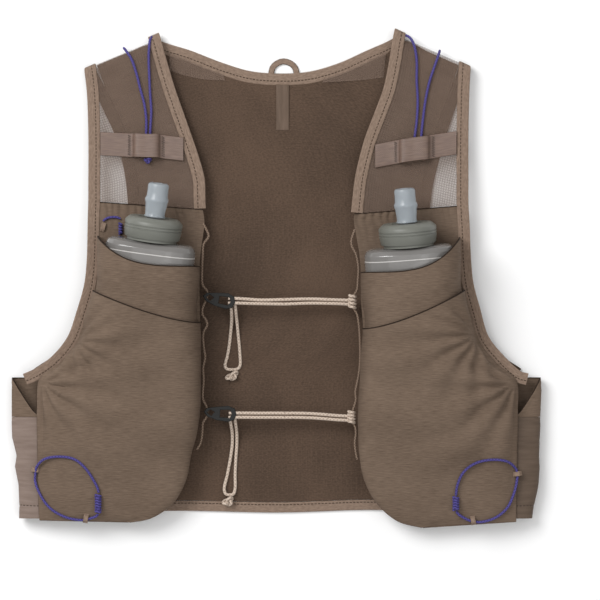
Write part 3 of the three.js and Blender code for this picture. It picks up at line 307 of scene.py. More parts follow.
SHOULDER_CORDS = {
    "left_shoulder_cord_inner": [
        (-0.2386, 0.2449, 15.6), (-0.2386, 0.2686, 15), (-0.2386, 0.2948, 14.4), (-0.2367, 0.3390, 13.7),
        (-0.2386, 0.3692, 13.3), (-0.2405, 0.4095, 12.9), (-0.2415, 0.4497, 12.6),
        (-0.2405, 0.4698, 12.4), (-0.2394, 0.4809, 11.2), (-0.2367, 0.4875, 8), (-0.2301, 0.4907, 4.5),
    ],
    "left_shoulder_cord_outer": [
        (-0.2466, 0.2449, 15.6), (-0.2464, 0.2686, 15), (-0.2462, 0.2948, 14.4), (-0.2462, 0.3229, 13.9),
        (-0.2500, 0.3531, 13.5), (-0.2576, 0.3833, 13.1), (-0.2652, 0.4155, 12.8),
        (-0.2746, 0.4437, 12.6), (-0.2812, 0.4547, 12.2), (-0.2869, 0.4632, 8.6), (-0.2898, 0.4666, 5),
    ],
    "right_shoulder_cord_inner": [
        (0.2633, 0.2586, 15.2), (0.2633, 0.2847, 14.6), (0.2670, 0.3189, 14), (0.2689, 0.3592, 13.4),
        (0.2670, 0.3994, 13), (0.2670, 0.4396, 12.7), (0.2633, 0.4658, 12.5), (0.2585, 0.4799, 12.2),
        (0.2528, 0.4879, 10), (0.2443, 0.4928, 5.5),
    ],
    "right_shoulder_cord_outer": [
        (0.2746, 0.2586, 15.2), (0.2756, 0.2867, 14.6), (0.2784, 0.3189, 14), (0.2841, 0.3632, 13.4),
        (0.2917, 0.3994, 13), (0.2992, 0.4235, 12.8), (0.3059, 0.4437, 12.4), (0.3093, 0.4547, 9.5),
        (0.3112, 0.4614, 5),
    ],
}
STRANDS = {
    "upper_strand_upper": [
        (-0.0750, -0.0402, 19.6), (-0.0530, -0.0416, 18.8), (-0.0303, -0.0433, 18.2),
        (0.0170, -0.0423, 17.4), (0.0644, -0.0412, 17), (0.1212, -0.0433, 16.8), (0.1407, -0.0439, 16.6),
    ],
    "upper_strand_lower": [
        (-0.0754, -0.0493, 19.6), (-0.0530, -0.0501, 18.8), (-0.0303, -0.0507, 18.2),
        (0.0170, -0.0513, 17.4), (0.0644, -0.0497, 17), (0.1212, -0.0509, 16.8), (0.1409, -0.0521, 16.6),
    ],
    "lower_strand_upper": [
        (-0.0739, -0.2710, 19.6), (-0.0530, -0.2712, 18.8), (-0.0303, -0.2714, 18.2),
        (0.0076, -0.2714, 17.4), (0.0644, -0.2722, 17), (0.1212, -0.2767, 16.8), (0.1398, -0.2775, 16.6),
    ],
    "lower_strand_lower": [
        (-0.0742, -0.2795, 19.6), (-0.0530, -0.2797, 18.8), (-0.0303, -0.2799, 18.2),
        (0.0076, -0.2799, 17.4), (0.0644, -0.2807, 17), (0.1212, -0.2851, 16.8), (0.1398, -0.2859, 16.6),
    ],
}
LOOP_CORDS = {
    "upper": [
        (-0.0871, -0.0503, 16.2), (-0.0848, -0.0634, 15.4), (-0.0843, -0.0835, 9),
        (-0.0862, -0.1076, 4.4), (-0.0890, -0.1338, 3.5), (-0.0928, -0.1579, 3.4),
        (-0.0970, -0.1761, 3.4), (-0.0938, -0.1825, 3.4), (-0.0833, -0.1841, 3.4),
        (-0.0729, -0.1825, 3.4), (-0.0686, -0.1761, 3.4), (-0.0691, -0.1479, 3.4),
        (-0.0720, -0.1137, 4.4), (-0.0746, -0.0835, 9), (-0.0765, -0.0634, 15.4),
        (-0.0780, -0.0503, 16.2),
    ],
    "lower": [
        (-0.0881, -0.2777, 16.2), (-0.0862, -0.2907, 15.4), (-0.0833, -0.3109, 8.5),
        (-0.0833, -0.3350, 4.2), (-0.0871, -0.3652, 3.6), (-0.0928, -0.3974, 3.6), (-0.0985, -0.4256, 4),
        (-0.0956, -0.4356, 4.2), (-0.0881, -0.4376, 4.2), (-0.0811, -0.4356, 4.2), (-0.0780, -0.4256, 4),
        (-0.0777, -0.3954, 3.6), (-0.0765, -0.3652, 3.6), (-0.0746, -0.3350, 4.2),
        (-0.0746, -0.3109, 8.5), (-0.0769, -0.2907, 15.4), (-0.0784, -0.2777, 16.2),
    ],
}
FLASK_CORD = [
    (-0.3277, 0.1157), (-0.3201, 0.1217), (-0.3106, 0.1237), (-0.3011, 0.1233), (-0.2945, 0.1205),
]
HOOK_OUTLINE = [
    (-0.5, 0.04), (-0.4, 0.28), (-0.08, 0.4), (0.24, 0.5), (0.44, 0.36), (0.5, 0), (0.44, -0.36),
    (0.26, -0.5), (-0.1, -0.44), (-0.38, -0.26),
]
HOOK_RING = [
    (-0.4, 0), (-0.3, 0.2), (-0.16, 0.06), (-0.26, -0.2),
]
HOOK_WINDOW = [
    (0, 0.22), (0.3, 0.26), (0.36, 0), (0.3, -0.26), (0, -0.24),
]
HANG_LOOP = [
    (-0.0076, 3.0), (-0.0051, 4.7), (0.0019, 6.9), (0.0144, 8.3), (0.0275, 6.9), (0.0345, 4.7),
    (0.0371, 3.0),
]
NECK_TAPE = [
    (0.0123, 0.3922), (0.0123, 0.3471), (0.0123, 0.3008),
]

MM = 0.001
SIDES = ("left", "right")
AWAY = {"left": -1, "right": 1}
RANK = {"left": 0, "right": 1}
UP = np.array([0.0, 0.0, 1.0])
LEAST_SPAN = 1e-4
SPLINE_DETAIL = 24


def at(x, y, z=0.0):
    """A place from shares of the vest's width and length."""
    return np.array([x * VEST_WIDTH, y * VEST_LENGTH, z], float)


def mix(a, b, t):
    return a + (b - a) * t


def smooth(t):
    s = np.clip(t, 0.0, 1.0)
    return s * s * (3 - 2 * s)


def power(value, roundness):
    return math.copysign(abs(value) ** (2 / roundness), value)


def unit(v):
    return v / max(np.linalg.norm(v), 1e-9)


def spline(points, t):
    """A centripetal Catmull-Rom curve through the points, at t from 0 to 1."""
    last = len(points) - 1
    p = t * last
    i = min(int(p), last - 1)
    w = p - i
    p1, p2 = points[i], points[i + 1]
    p0 = points[i - 1] if i > 0 else 2 * p1 - p2
    p3 = points[i + 2] if i + 2 <= last else 2 * p2 - p1
    d0 = np.linalg.norm(p1 - p0) ** 0.5
    d1 = max(np.linalg.norm(p2 - p1) ** 0.5, LEAST_SPAN)
    d2 = np.linalg.norm(p3 - p2) ** 0.5
    d0 = d0 if d0 > LEAST_SPAN else d1
    d2 = d2 if d2 > LEAST_SPAN else d1
    t1 = ((p1 - p0) / d0 - (p2 - p0) / (d0 + d1) + (p2 - p1) / d1) * d1
    t2 = ((p2 - p1) / d1 - (p3 - p1) / (d1 + d2) + (p3 - p2) / d2) * d1
    c2 = 3 * (p2 - p1) - 2 * t1 - t2
    c3 = 2 * (p1 - p2) + t1 + t2
    return p1 + t1 * w + c2 * w * w + c3 * w ** 3


def runs(line):
    """How far along the line each of its points lies."""
    return np.concatenate([[0], np.cumsum(np.linalg.norm(np.diff(line, axis=0), axis=1))])


def resample(points, step):
    """Evenly spaced points on the spline through the given points."""
    fine = np.array([spline(points, t) for t in np.linspace(0, 1, SPLINE_DETAIL * len(points))])
    run = runs(fine)
    wanted = np.linspace(0, run[-1], max(2, int(round(run[-1] / step)) + 1))
    return np.stack([np.interp(wanted, run, fine[:, k]) for k in range(3)], axis=1)


# Rows of FRONT where the mesh ends and where the armhole ends
MESH_END = 4
ARMHOLE_END = 11
LAST_ROW = len(FRONT) - 1
FOLD_LEVEL = BACK_CLOTH + CLEARANCE + CLOTH / 2


def front_level(row):
    """The height of the front's middle layer at a row of FRONT."""
    run = row * VEST_LENGTH * (FRONT[0][1] - FRONT[1][1])
    near = max(0.0, 1 - run / SHOULDER_FOLD)
    climb = float(smooth(run / (VEST_LENGTH / 2)))
    return FOLD_LEVEL + STRAP_GAP * math.sqrt(1 - near * near) + (TORSO_GAP - STRAP_GAP) * climb


CHEST_LEVEL = front_level(ARMHOLE_END)


def edge_table(side, column):
    column += 4 * RANK[side]
    return [at(row[column], row[column + 1]) for row in FRONT]


EDGE = {side: {"inner": edge_table(side, 0), "outer": edge_table(side, 2)} for side in SIDES}


def edge_at(side, edge, row):
    place = spline(EDGE[side][edge], row / LAST_ROW)
    place[2] = front_level(row)
    return place


# The caps' places and their lean in degrees
FLASKS = {"left": (-0.231, 0.1016, 7.5), "right": (0.2485, 0.0905, -4.5)}
BASE_TOP = front_level(6) + CLOTH / 2
AXIS_LEVEL = BASE_TOP + CAP_SEAT + CAP_DIAMETER / 2
SHOULDER = CAP_HEIGHT / 2 + NECK_HEIGHT


def flask_frame(side):
    """The cap's place, and the flask's directions along, across and up."""
    x, y, lean = FLASKS[side]
    lean = math.radians(lean)
    tilt = math.cos(FLASK_TILT)
    along = np.array([math.sin(lean) * tilt, math.cos(lean) * tilt, math.sin(FLASK_TILT)])
    across = unit(np.cross(along, UP))
    return at(x, y, AXIS_LEVEL), along, across, np.cross(across, along)


def flask_half(run):
    """Half the flask's thickness at a run down from its cap."""
    return AXIS_LEVEL - BASE_TOP - CAP_SEAT - run * math.sin(FLASK_TILT)


POCKET_ROOM = 2 * CLEARANCE + CLOTH + 1
POCKET_ROUNDNESS = 3.5
LAYER_STEP = CLOTH + 2 * CLEARANCE + 0.6
FLASK_HOLD = 0.8
FOOT_THICKNESS = TORSO_GAP * 0.6
FOOT_FADE = VEST_LENGTH / 4


def crest(side, y):
    """Where the pocket's crest crosses a height of the vest, and how far it stands up there."""
    centre, along = flask_frame(side)[:2]
    run = (centre[1] - y) / along[1]
    end = SHOULDER + FLASK_LENGTH * FLASK_HOLD
    thick = 2 * flask_half(min(max(run, SHOULDER), end)) + POCKET_ROOM
    fade = float(smooth((run - end) / FOOT_FADE))
    return centre[0] - along[0] * run, mix(thick, FOOT_THICKNESS, fade)


def vault(side, turn, row, above):
    """A place on the pocket's arch over the flask, at a turn from 0 at the inner edge to 1."""
    inner_row, outer_row, curl, fullness, inset, rise, holds = row
    inner = edge_at(side, "inner", inner_row)
    outer = edge_at(side, "outer", outer_row)
    outward = outer - inner
    outward[2] = 0
    span = np.linalg.norm(outward)
    outward = outward / span
    middle = (crest(side, (inner[1] + outer[1]) / 2)[0] - inner[0]) / outward[0]
    angle = math.pi * turn
    edge = (middle if angle < math.pi / 2 else span - middle) - inset * LAYER_STEP - CLEARANCE
    reach = max(edge, holds * (FLASK_WIDTH / 2 + POCKET_ROOM + above))
    roundness = POCKET_ROUNDNESS if angle < math.pi / 2 else fullness
    offset = middle - reach * power(math.cos(angle), roundness)
    share = min(max(offset / span, 0.0), 1.0)
    place = inner + outward * offset
    place[1] = mix(inner[1], outer[1], share ** curl)
    height = (crest(side, place[1])[1] + above) * rise
    lift = abs(math.sin(angle)) ** (2 / roundness) * height
    place[2] = mix(inner[2], outer[2], share) + CLOTH + CLEARANCE + lift
    return place


def level(rows, y):
    """Reads a value at a height, in a straight line between (y, value) rows that fall in y."""
    if y >= rows[0][0]:
        return rows[0][1]
    for (y0, a), (y1, b) in zip(rows, rows[1:]):
        if y >= y1:
            return mix(a, b, (y0 - y) / (y0 - y1))
    return rows[-1][1]


def side_at(side, turn, y):
    """A place on the folded side, at a turn from 0 on the back to 1 on the front."""
    away, k = AWAY[side], RANK[side]
    out = 4 * k + 2
    back = level([(row[2], row[k]) for row in reversed(BACK_SIDE)], y) * VEST_WIDTH + away * CLEARANCE
    front = level([(row[out + 1], row[out]) for row in FRONT], y) * VEST_WIDTH + away * CLEARANCE
    reach = level([(row[0], row[1 + k]) for row in SIDE_REACH], y) * VEST_WIDTH - away * CLOTH / 2
    angle = math.pi * (turn - 0.5)
    seam = mix(back, front, turn)
    return np.array([
        seam + (reach - seam) * power(math.cos(angle), SIDE_FULLNESS),
        y * VEST_LENGTH,
        mix(CLOTH / 2, CHEST_LEVEL, 0.5 + 0.5 * power(math.sin(angle), SIDE_FULLNESS)),
    ])


# Builders of pieces. A look is a material with the name of its slot.
SHARP_ANGLE = 50
TUBE_SIDES = 10
TUBE_END = 0.8
LATHE_SIDES = 72
EDGE_ROUNDING = 0.75


def add_piece(name, node, data, slot, body="vest"):
    """Adds a piece, and says its body, its slot and the node that it replaces."""
    piece = bpy.data.objects.new(name, data)
    bpy.context.scene.collection.objects.link(piece)
    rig.ride(piece, body)
    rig.slot(piece, slot)
    if node:
        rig.replaces(piece, node)
    return piece


def mesh_piece(name, node, points, faces, uvs, look, body="vest", sharp=SHARP_ANGLE):
    mesh = bpy.data.meshes.new(name)
    mesh.from_pydata([tuple(p * MM) for p in points], [], faces)
    layer = mesh.uv_layers.new(name="UVMap")
    loops = np.zeros(len(mesh.loops), dtype=np.int32)
    mesh.loops.foreach_get("vertex_index", loops)
    layer.data.foreach_set("uv", np.array(uvs, float)[loops].ravel())
    mesh.polygons.foreach_set("use_smooth", [True] * len(mesh.polygons))
    mesh.materials.append(look[0])
    mesh.update()
    mesh.set_sharp_from_angle(angle=math.radians(sharp))
    return add_piece(name, node, mesh, look[1], body)


def normals_of(grid):
    n = np.cross(np.gradient(grid, axis=0), np.gradient(grid, axis=1))
    return n / np.maximum(np.linalg.norm(n, axis=2, keepdims=True), 1e-9)


def grid_runs(grid, axis):
    """How far each place of a grid lies from its first row or column."""
    steps = np.linalg.norm(np.diff(grid, axis=axis), axis=2)
    zero = np.zeros_like(np.take(grid[:, :, 0], [0], axis=axis))
    return np.concatenate([zero, np.cumsum(steps, axis=axis)], axis=axis)


def declare_sheet(piece, grid, held, rests_on):
    """Says the size the sheet was cut to, which is the grid's before its folds."""
    width = float(grid_runs(grid, 1)[:, -1].max()) * MM
    length = float(grid_runs(grid, 0)[-1].max()) * MM
    cross = np.cross(grid[1:, 1:] - grid[:-1, :-1], grid[1:, :-1] - grid[:-1, 1:])
    area = float(np.linalg.norm(cross, axis=2).sum()) / 2 * MM * MM
    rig.sheet(piece, flat=(width, length), held=held, rests_on=rests_on, area=min(area, width * length))


def cloth(name, node, grid, thickness, look, outward, relief=None, held="stretched", rests_on=()):
    """A closed sheet over a grid of places. relief gives how far each place stands out."""
    cut = grid
    facing = 1 if float((normals_of(grid) * outward).sum()) >= 0 else -1
    across, along = grid_runs(grid, 1), grid_runs(grid, 0)
    if relief:
        grid = grid + facing * normals_of(grid) * relief(grid, across, along)[:, :, None]
    half = facing * normals_of(grid) * thickness / 2
    points = np.concatenate([(grid + half).reshape(-1, 3), (grid - half).reshape(-1, 3)])
    uv = np.stack([across, along], axis=2).reshape(-1, 2) * MM
    rows, columns = grid.shape[:2]
    count = rows * columns
    ids = np.arange(count).reshape(rows, columns)
    top = np.stack([ids[:-1, :-1], ids[:-1, 1:], ids[1:, 1:], ids[1:, :-1]], axis=2).reshape(-1, 4)
    low = top[:, [0, 3, 2, 1]] + count
    rim = np.concatenate([ids[:, 0], ids[-1, 1:], ids[-2::-1, -1], ids[0, -2::-1]])
    near, far = rim[:-1], rim[1:]
    faces = np.concatenate([top, low, np.stack([near, far, far + count, near + count], axis=1)])
    piece = mesh_piece(name, node, points, faces[:, ::-facing].tolist(), np.concatenate([uv, uv]), look)
    declare_sheet(piece, cut, held, rests_on)


def ring(centre, one, two, count, roundness=2.0):
    """Places round a centre on an oval with the two arms, squarer above a roundness of 2."""
    angles = [2 * math.pi * k / count for k in range(count)]
    return [centre + power(math.cos(a), roundness) * one + power(math.sin(a), roundness) * two
            for a in angles]


def ring_piece(name, node, points, uvs, count, look, body="vest", sharp=SHARP_ANGLE):
    """A closed piece of rings with count points each, and a flat face at both ends."""
    end = len(points) - count
    faces = []
    for start in range(0, end, count):
        for k in range(count):
            p, q = start + k, start + (k + 1) % count
            faces.append((p, q, q + count, p + count))
    faces += [tuple(range(count))[::-1], tuple(range(end, end + count))]
    piece = mesh_piece(name, node, points, faces, uvs, look, body, sharp)
    mesh = bmesh.new()
    mesh.from_mesh(piece.data)
    bmesh.ops.recalc_face_normals(mesh, faces=mesh.faces)
    mesh.to_mesh(piece.data)
    mesh.free()
    return piece


def swept(name, node, stations, section, look):
    """A section of (across, depth) swept through stations of (place, side, normal)."""
    points, uvs = [], []
    for run, (place, side, normal) in zip(runs([station[0] for station in stations]), stations):
        points += [place + side * across + normal * depth for across, depth in section]
        uvs += [(run * MM, across * MM) for across, depth in section]
    ring_piece(name, node, points, uvs, len(section), look)


def tape_section(start, end, thickness):
    """A flat tape with rounded edges, as (across, depth) pairs."""
    flat = thickness / 2
    r = EDGE_ROUNDING * flat
    low, high = min(start, end) + r, max(start, end) - r
    corners = []
    for turn, (x, y) in enumerate(((high, flat - r), (low, flat - r), (low, r - flat), (high, r - flat))):
        angles = math.pi / 2 * (turn + np.linspace(0, 1, 4))
        corners += [(x + r * math.cos(a), y + r * math.sin(a)) for a in angles]
    middle = np.linspace(low, high, 6)[1:-1]
    return [*corners[:4], *[(x, flat) for x in middle[::-1]], *corners[4:12], *[(x, -flat) for x in middle],
            *corners[12:]]


def tape_stations(places, step=2.5):
    """Stations along (place, normal) pairs, evenly spaced, with their side directions."""
    path, normals = zip(*places)
    fine = []
    for i, (a, b) in enumerate(zip(path, path[1:])):
        parts = max(1, int(round(np.linalg.norm(b - a) / step)))
        fine += [(i + k / parts) / (len(path) - 1) for k in range(parts)]
    line = [spline(path, t) for t in [*fine, 1.0]]
    facing = [unit(spline(normals, t)) for t in [*fine, 1.0]]
    return [(place, unit(np.cross(unit(slope), normal)), normal)
            for place, slope, normal in zip(line, np.gradient(line, axis=0), facing)]


def tube(name, node, points, diameter, look, step=1.2):
    """A closed tube along the points. Gives the piece and its centre line."""
    line = resample(points, step)
    tangents = np.gradient(line, axis=0)
    tangents /= np.linalg.norm(tangents, axis=1)[:, None]
    guide = np.cross(tangents[0], UP)
    if np.linalg.norm(guide) < 0.1:
        guide = np.cross(tangents[0], np.array([1.0, 0, 0]))
    rings, uvs = [], []
    for i, (place, tangent, run) in enumerate(zip(line, tangents, runs(line))):
        guide = unit(guide - tangent * np.dot(guide, tangent))
        radius = diameter / 2 * (TUBE_END if i in (0, len(line) - 1) else 1.0)
        rings += ring(place, radius * guide, radius * np.cross(tangent, guide), TUBE_SIDES)
        uvs += [(run * MM, k / TUBE_SIDES * diameter * math.pi * MM) for k in range(TUBE_SIDES)]
    return ring_piece(name, node, rings, uvs, TUBE_SIDES, look), line


def lathe(name, node, side, profile, start, look):
    """A turned piece on the flask's axis, from (radius, height) pairs."""
    centre, along, across, up = flask_frame(side)
    points, uvs = [], []
    for radius, height in profile:
        points += ring(centre + along * (start + height), radius * across, radius * up, LATHE_SIDES)
        uvs += [(2 * math.pi * k / LATHE_SIDES * radius * MM, height * MM) for k in range(LATHE_SIDES)]
    ring_piece(name, node, points, uvs, LATHE_SIDES, look, f"{side}_cap", 35)


def colour(text, alpha=1.0):
    """Linear colour from an sRGB hex text."""
    parts = [int(text[i:i + 2], 16) / 255 for i in (0, 2, 4)]
    return tuple(p / 12.92 if p <= 0.04045 else ((p + 0.055) / 1.055) ** 2.4 for p in parts) + (alpha,)


class Shader:
    """A Principled material with a few pattern nodes. Its lengths are metres."""

    def __init__(self, name, base, roughness, **sockets):
        self.material = bpy.data.materials.new(name)
        self.material.use_nodes = True
        self.tree = self.material.node_tree
        self.shader = self.tree.nodes["Principled BSDF"]
        self.shader.inputs["Base Color"].default_value = colour(base)
        self.shader.inputs["Roughness"].default_value = roughness
        for socket, value in sockets.items():
            self.shader.inputs[socket.replace("_", " ")].default_value = value
        places = self.tree.nodes.new("ShaderNodeTexCoord").outputs
        self.uv = places["UV"]
        self.object = places["Object"]
        self.normal = None

    def node(self, kind, inputs, output=0, **settings):
        node = self.tree.nodes.new(kind)
        for key, value in settings.items():
            setattr(node, key, value)
        for key, value in inputs.items():
            if isinstance(value, bpy.types.NodeSocket):
                self.tree.links.new(value, node.inputs[key])
            else:
                node.inputs[key].default_value = value
        return node.outputs[output]

    def part(self, vector, axis):
        return self.node("ShaderNodeSeparateXYZ", {"Vector": vector}, axis)

    def place(self, x, y, turn=0.0):
        """Texture coordinates with x and y counts per metre."""
        turned = self.uv
        if turn:
            inputs = {"Vector": turned, "Angle": turn}
            turned = self.node("ShaderNodeVectorRotate", inputs, rotation_type="Z_AXIS")
        return self.node("ShaderNodeMapping", {"Vector": turned, "Scale": (x, y, 1)})

    def noise(self, x, y, detail=3.0, roughness=0.55):
        inputs = {"Vector": self.place(x, y), "Scale": 1.0, "Detail": detail, "Roughness": roughness}
        return self.node("ShaderNodeTexNoise", inputs, "Fac")

    def bands(self, period, direction="X", turn=0.0):
        # A wave texture has 20 bands to each 2 pi
        scale = 0.31416 / period
        inputs = {"Vector": self.place(scale, scale, turn), "Scale": 1.0, "Distortion": 0.0, "Detail": 1.0}
        return self.node("ShaderNodeTexWave", inputs, "Fac", bands_direction=direction)

    def weave(self, period):
        return self.math("MAXIMUM", self.bands(period, "X"), self.bands(period, "Y"))

    def math(self, operation, a, b=0.0):
        return self.node("ShaderNodeMath", {0: a, 1: b}, operation=operation)

    def near(self, value, centre, reach):
        """1 where the value is within reach of the centre."""
        gap = self.math("ABSOLUTE", self.math("SUBTRACT", value, centre))
        return self.math("LESS_THAN", gap, reach)

    def both(self, one, weight, two, other):
        return self.math("ADD", self.math("MULTIPLY", one, weight), self.math("MULTIPLY", two, other))

    def ramp(self, factor, low, high):
        """0 to 1 as the factor goes from low to high."""
        return self.node("ShaderNodeMapRange", {
            "Value": factor, "From Min": low, "From Max": high, "To Min": 0.0, "To Max": 1.0,
        })

    def blend(self, factor, dark, light):
        self.base = self.node("ShaderNodeMix", {0: factor, 6: dark, 7: light}, 2, data_type="RGBA")
        self.tree.links.new(self.base, self.shader.inputs["Base Color"])

    def tint(self, factor, dark, light):
        """The base colour, from dark to light as the factor goes from 0 to 1."""
        self.blend(factor, colour(dark), colour(light))

    def shade(self, factor, shade):
        """Moves the base colour to the shade where the factor is 1."""
        self.blend(factor, self.base, colour(shade))

    def slubs(self, x, y, dark, light):
        self.tint(self.ramp(self.noise(x, y), 0.3, 0.7), dark, light)

    def bump(self, height, distance):
        inputs = {"Height": height, "Distance": distance, "Strength": 1.0}
        if self.normal is not None:
            inputs["Normal"] = self.normal
        self.normal = self.node("ShaderNodeBump", inputs)
        self.tree.links.new(self.normal, self.shader.inputs["Normal"])

    def stitches(self, inset, pitch=0.003, width=0.0004):
        """Dashes along a line at a distance from the middle of a tape."""
        across = self.math("ABSOLUTE", self.part(self.uv, 1))
        dash = self.math("GREATER_THAN", self.bands(pitch), 0.3)
        return self.math("MULTIPLY", self.near(across, inset, width), dash)


def knit_material():
    look = Shader("knit cloth", "68574a", 0.9, Specular_IOR_Level=0.12)
    # Painted shadow: each knit sheet is darkened within 0.9 mm of its first edge, where the gap under a pocket's mouth
    # lies in shade.
    rim = look.near(look.part(look.uv, 1), 0.0, 0.0009)
    look.uv = look.object
    slub = look.noise(130, 1500, 4.0, 0.6)
    look.tint(look.ramp(look.both(slub, 0.7, look.noise(14, 30), 0.3), 0.34, 0.66), "5c4d41", "776658")
    # The painted shadow along the mouth's gap.
    look.shade(rim, "30261f")
    look.bump(look.bands(0.0009, "Y"), 0.00006)
    look.bump(slub, 0.00022)
    return look.material


def lining_material():
    look = Shader("ripstop lining", "4e3f34", 0.75, Specular_IOR_Level=0.15)
    fine = look.noise(500, 900, 2.0)
    # The broad cloud, noise at 12 by 8 per metre, is painted shade of the cloth's soft waves; the fine noise is the
    # cloth's own tone.
    look.tint(look.ramp(look.both(fine, 0.5, look.noise(12, 8), 0.5), 0.40, 0.60), "43352b", "5a483b")
    line = look.ramp(look.weave(0.0042), 0.93, 1.0)
    look.shade(look.math("MULTIPLY", line, 0.3), "5f4e42")
    look.bump(line, 0.00012)
    look.bump(fine, 0.00005)
    return look.material


def mesh_material():
    """A net, seen through between its threads."""
    look = Shader("strap mesh", "725d4f", 0.85, Specular_IOR_Level=0.12)
    threads = look.weave(0.0021)
    look.tint(look.noise(60, 200), "78655a", "927e70")
    cover = look.math("ADD", look.math("MULTIPLY", look.ramp(threads, 0.55, 0.85), 0.13), 0.21)
    look.tree.links.new(cover, look.shader.inputs["Alpha"])
    look.bump(threads, 0.0002)
    return look.material


def binding_material(name, painted_shade_below=None):
    look = Shader(name, "7c6a5c", 0.85, Specular_IOR_Level=0.12)
    look.slubs(260, 900, "746255", "8f7b6c")
    seam = look.stitches(0.0024)
    look.shade(seam, "4a3c32")
    # Painted shade: below the given height the tape is darker, where the back's edge lies in shade under the strap.
    if painted_shade_below:
        look.shade(look.math("LESS_THAN", look.part(look.object, 2), painted_shade_below), "46372c")
    look.bump(look.bands(0.0011), 0.00012)
    look.bump(look.math("MULTIPLY", seam, -1.0), 0.0004)
    return look.material


def webbing_material():
    look = Shader("webbing", "6e5a50", 0.36)
    look.slubs(90, 900, "645148", "7c675b")
    look.bump(look.bands(0.0012, "X", 0.7), 0.00012)
    look.bump(look.bands(0.0009, "Y"), 0.0001)
    return look.material


def side_material(name, dark, light):
    look = Shader(name, dark, 0.66, Specular_IOR_Level=0.2)
    look.slubs(40, 300, dark, light)
    look.shade(look.stitches(0.0755), "3a2f28")
    look.bump(look.noise(900, 900, 2.0), 0.00005)
    return look.material


def cord_material(name, dark, light, diameter, fleck=None):
    look = Shader(name, light, 0.8, Specular_IOR_Level=0.2)
    one, two = [look.bands(diameter * 0.9, "X", turn) for turn in (0.72, -0.72)]
    braid = look.math("MAXIMUM", one, two)
    look.tint(look.ramp(braid, 0.35, 0.95), dark, light)
    if fleck:
        look.shade(look.ramp(look.noise(300, 800, 1.0), 0.68, 0.72), fleck)
    look.bump(braid, 0.00015)
    return look.material


def plastic_material(name, base, roughness, **sockets):
    look = Shader(name, base, roughness, **sockets)
    look.bump(look.noise(1500, 1500, 2.0), 0.00003)
    return look.material


def flask_material():
    look = Shader("flask film", "84817e", 0.2, Transmission_Weight=0.3, IOR=1.45, Coat_Weight=0.5)
    look.tint(look.noise(30, 30), "7a7774", "908d8a")
    # The weld seam: its ridge is bumped, and its light colour is a painted highlight on that ridge.
    weld_ridge_and_highlight = look.near(look.part(look.uv, 1), 0.0098, 0.0005)
    look.shade(weld_ridge_and_highlight, "d6d2ce")
    look.bump(weld_ridge_and_highlight, 0.0003)
    return look.material


KNIT = knit_material(), "knit_cloth"
LINING = lining_material(), "lining"
MESH = mesh_material(), "mesh_cloth"
BINDING = binding_material("binding tape"), "binding"
# A shaded copy of the binding tape, with painted shade on its low part under the straps.
SHADED_ARMHOLE_TAPE = binding_material("armhole tape with painted shade", painted_shade_below=0.0045), "binding"
WEBBING_CLOTH = webbing_material(), "webbing"
# The right side's cloth is a darker copy of the left's: painted shade, as that side lies away from the key lamp.
SIDE_CLOTH_SHADED_RIGHT = {
    "left": (side_material("left side cloth", "74645b", "85756c"), "side_cloth"),
    "right": (side_material("right side cloth with painted shade", "54463b", "625347"), "side_cloth"),
}
NECK_TAPE_CLOTH = side_material("neck tape cloth", "57483c", "68574b"), "binding"
LACE = cord_material("lacing cord", "57483d", "8a7666", 0.002), "lacing"
PURPLE = cord_material("purple cord", "393463", "524a8a", 0.0022), "purple_cord"
BEIGE = cord_material("beige cord", "a59485", "cbbaab", 0.0025, "5a4b42"), "beige_cord"
THREAD = plastic_material("dark thread", "2c2420", 0.8), "webbing"
CAP_PLASTIC = plastic_material("cap plastic", "6b6c65", 0.42), "cap_plastic"
FLASK_FILM = flask_material(), "flask_film"
VALVE_SILICONE = (plastic_material("valve silicone", "b4bcc2", 0.26, Transmission_Weight=0.45, IOR=1.41),
                  "valve_silicone")
HOOK_PLASTIC = plastic_material("hook plastic", "1b1b1a", 0.6, Specular_IOR_Level=0.3), "hook_plastic"

# The photo's middle, the vest's middle and its size in the photo, in pixels
PHOTO_MIDDLE = 300
VEST_MIDDLE = (276, 278.5)
VEST_PIXELS = (528, 497)
CAMERA_HEIGHT = 4.0
VEST_DISTANCE = 3.98
PHOTO_SPAN = 0.5102
SENSOR = 36
FLOOR_REACH = 6.0
FLOOR_DROP = 0.0006
LAMPS = (
    ("key", (-1.5, 1.3, 2.2), 1.5, 64),
    ("fill", (1.6, -0.9, 2.6), 2.4, 14),
    ("top", (0.0, 0.0, 3.6), 3.0, 26),
)
SKY = 0.47


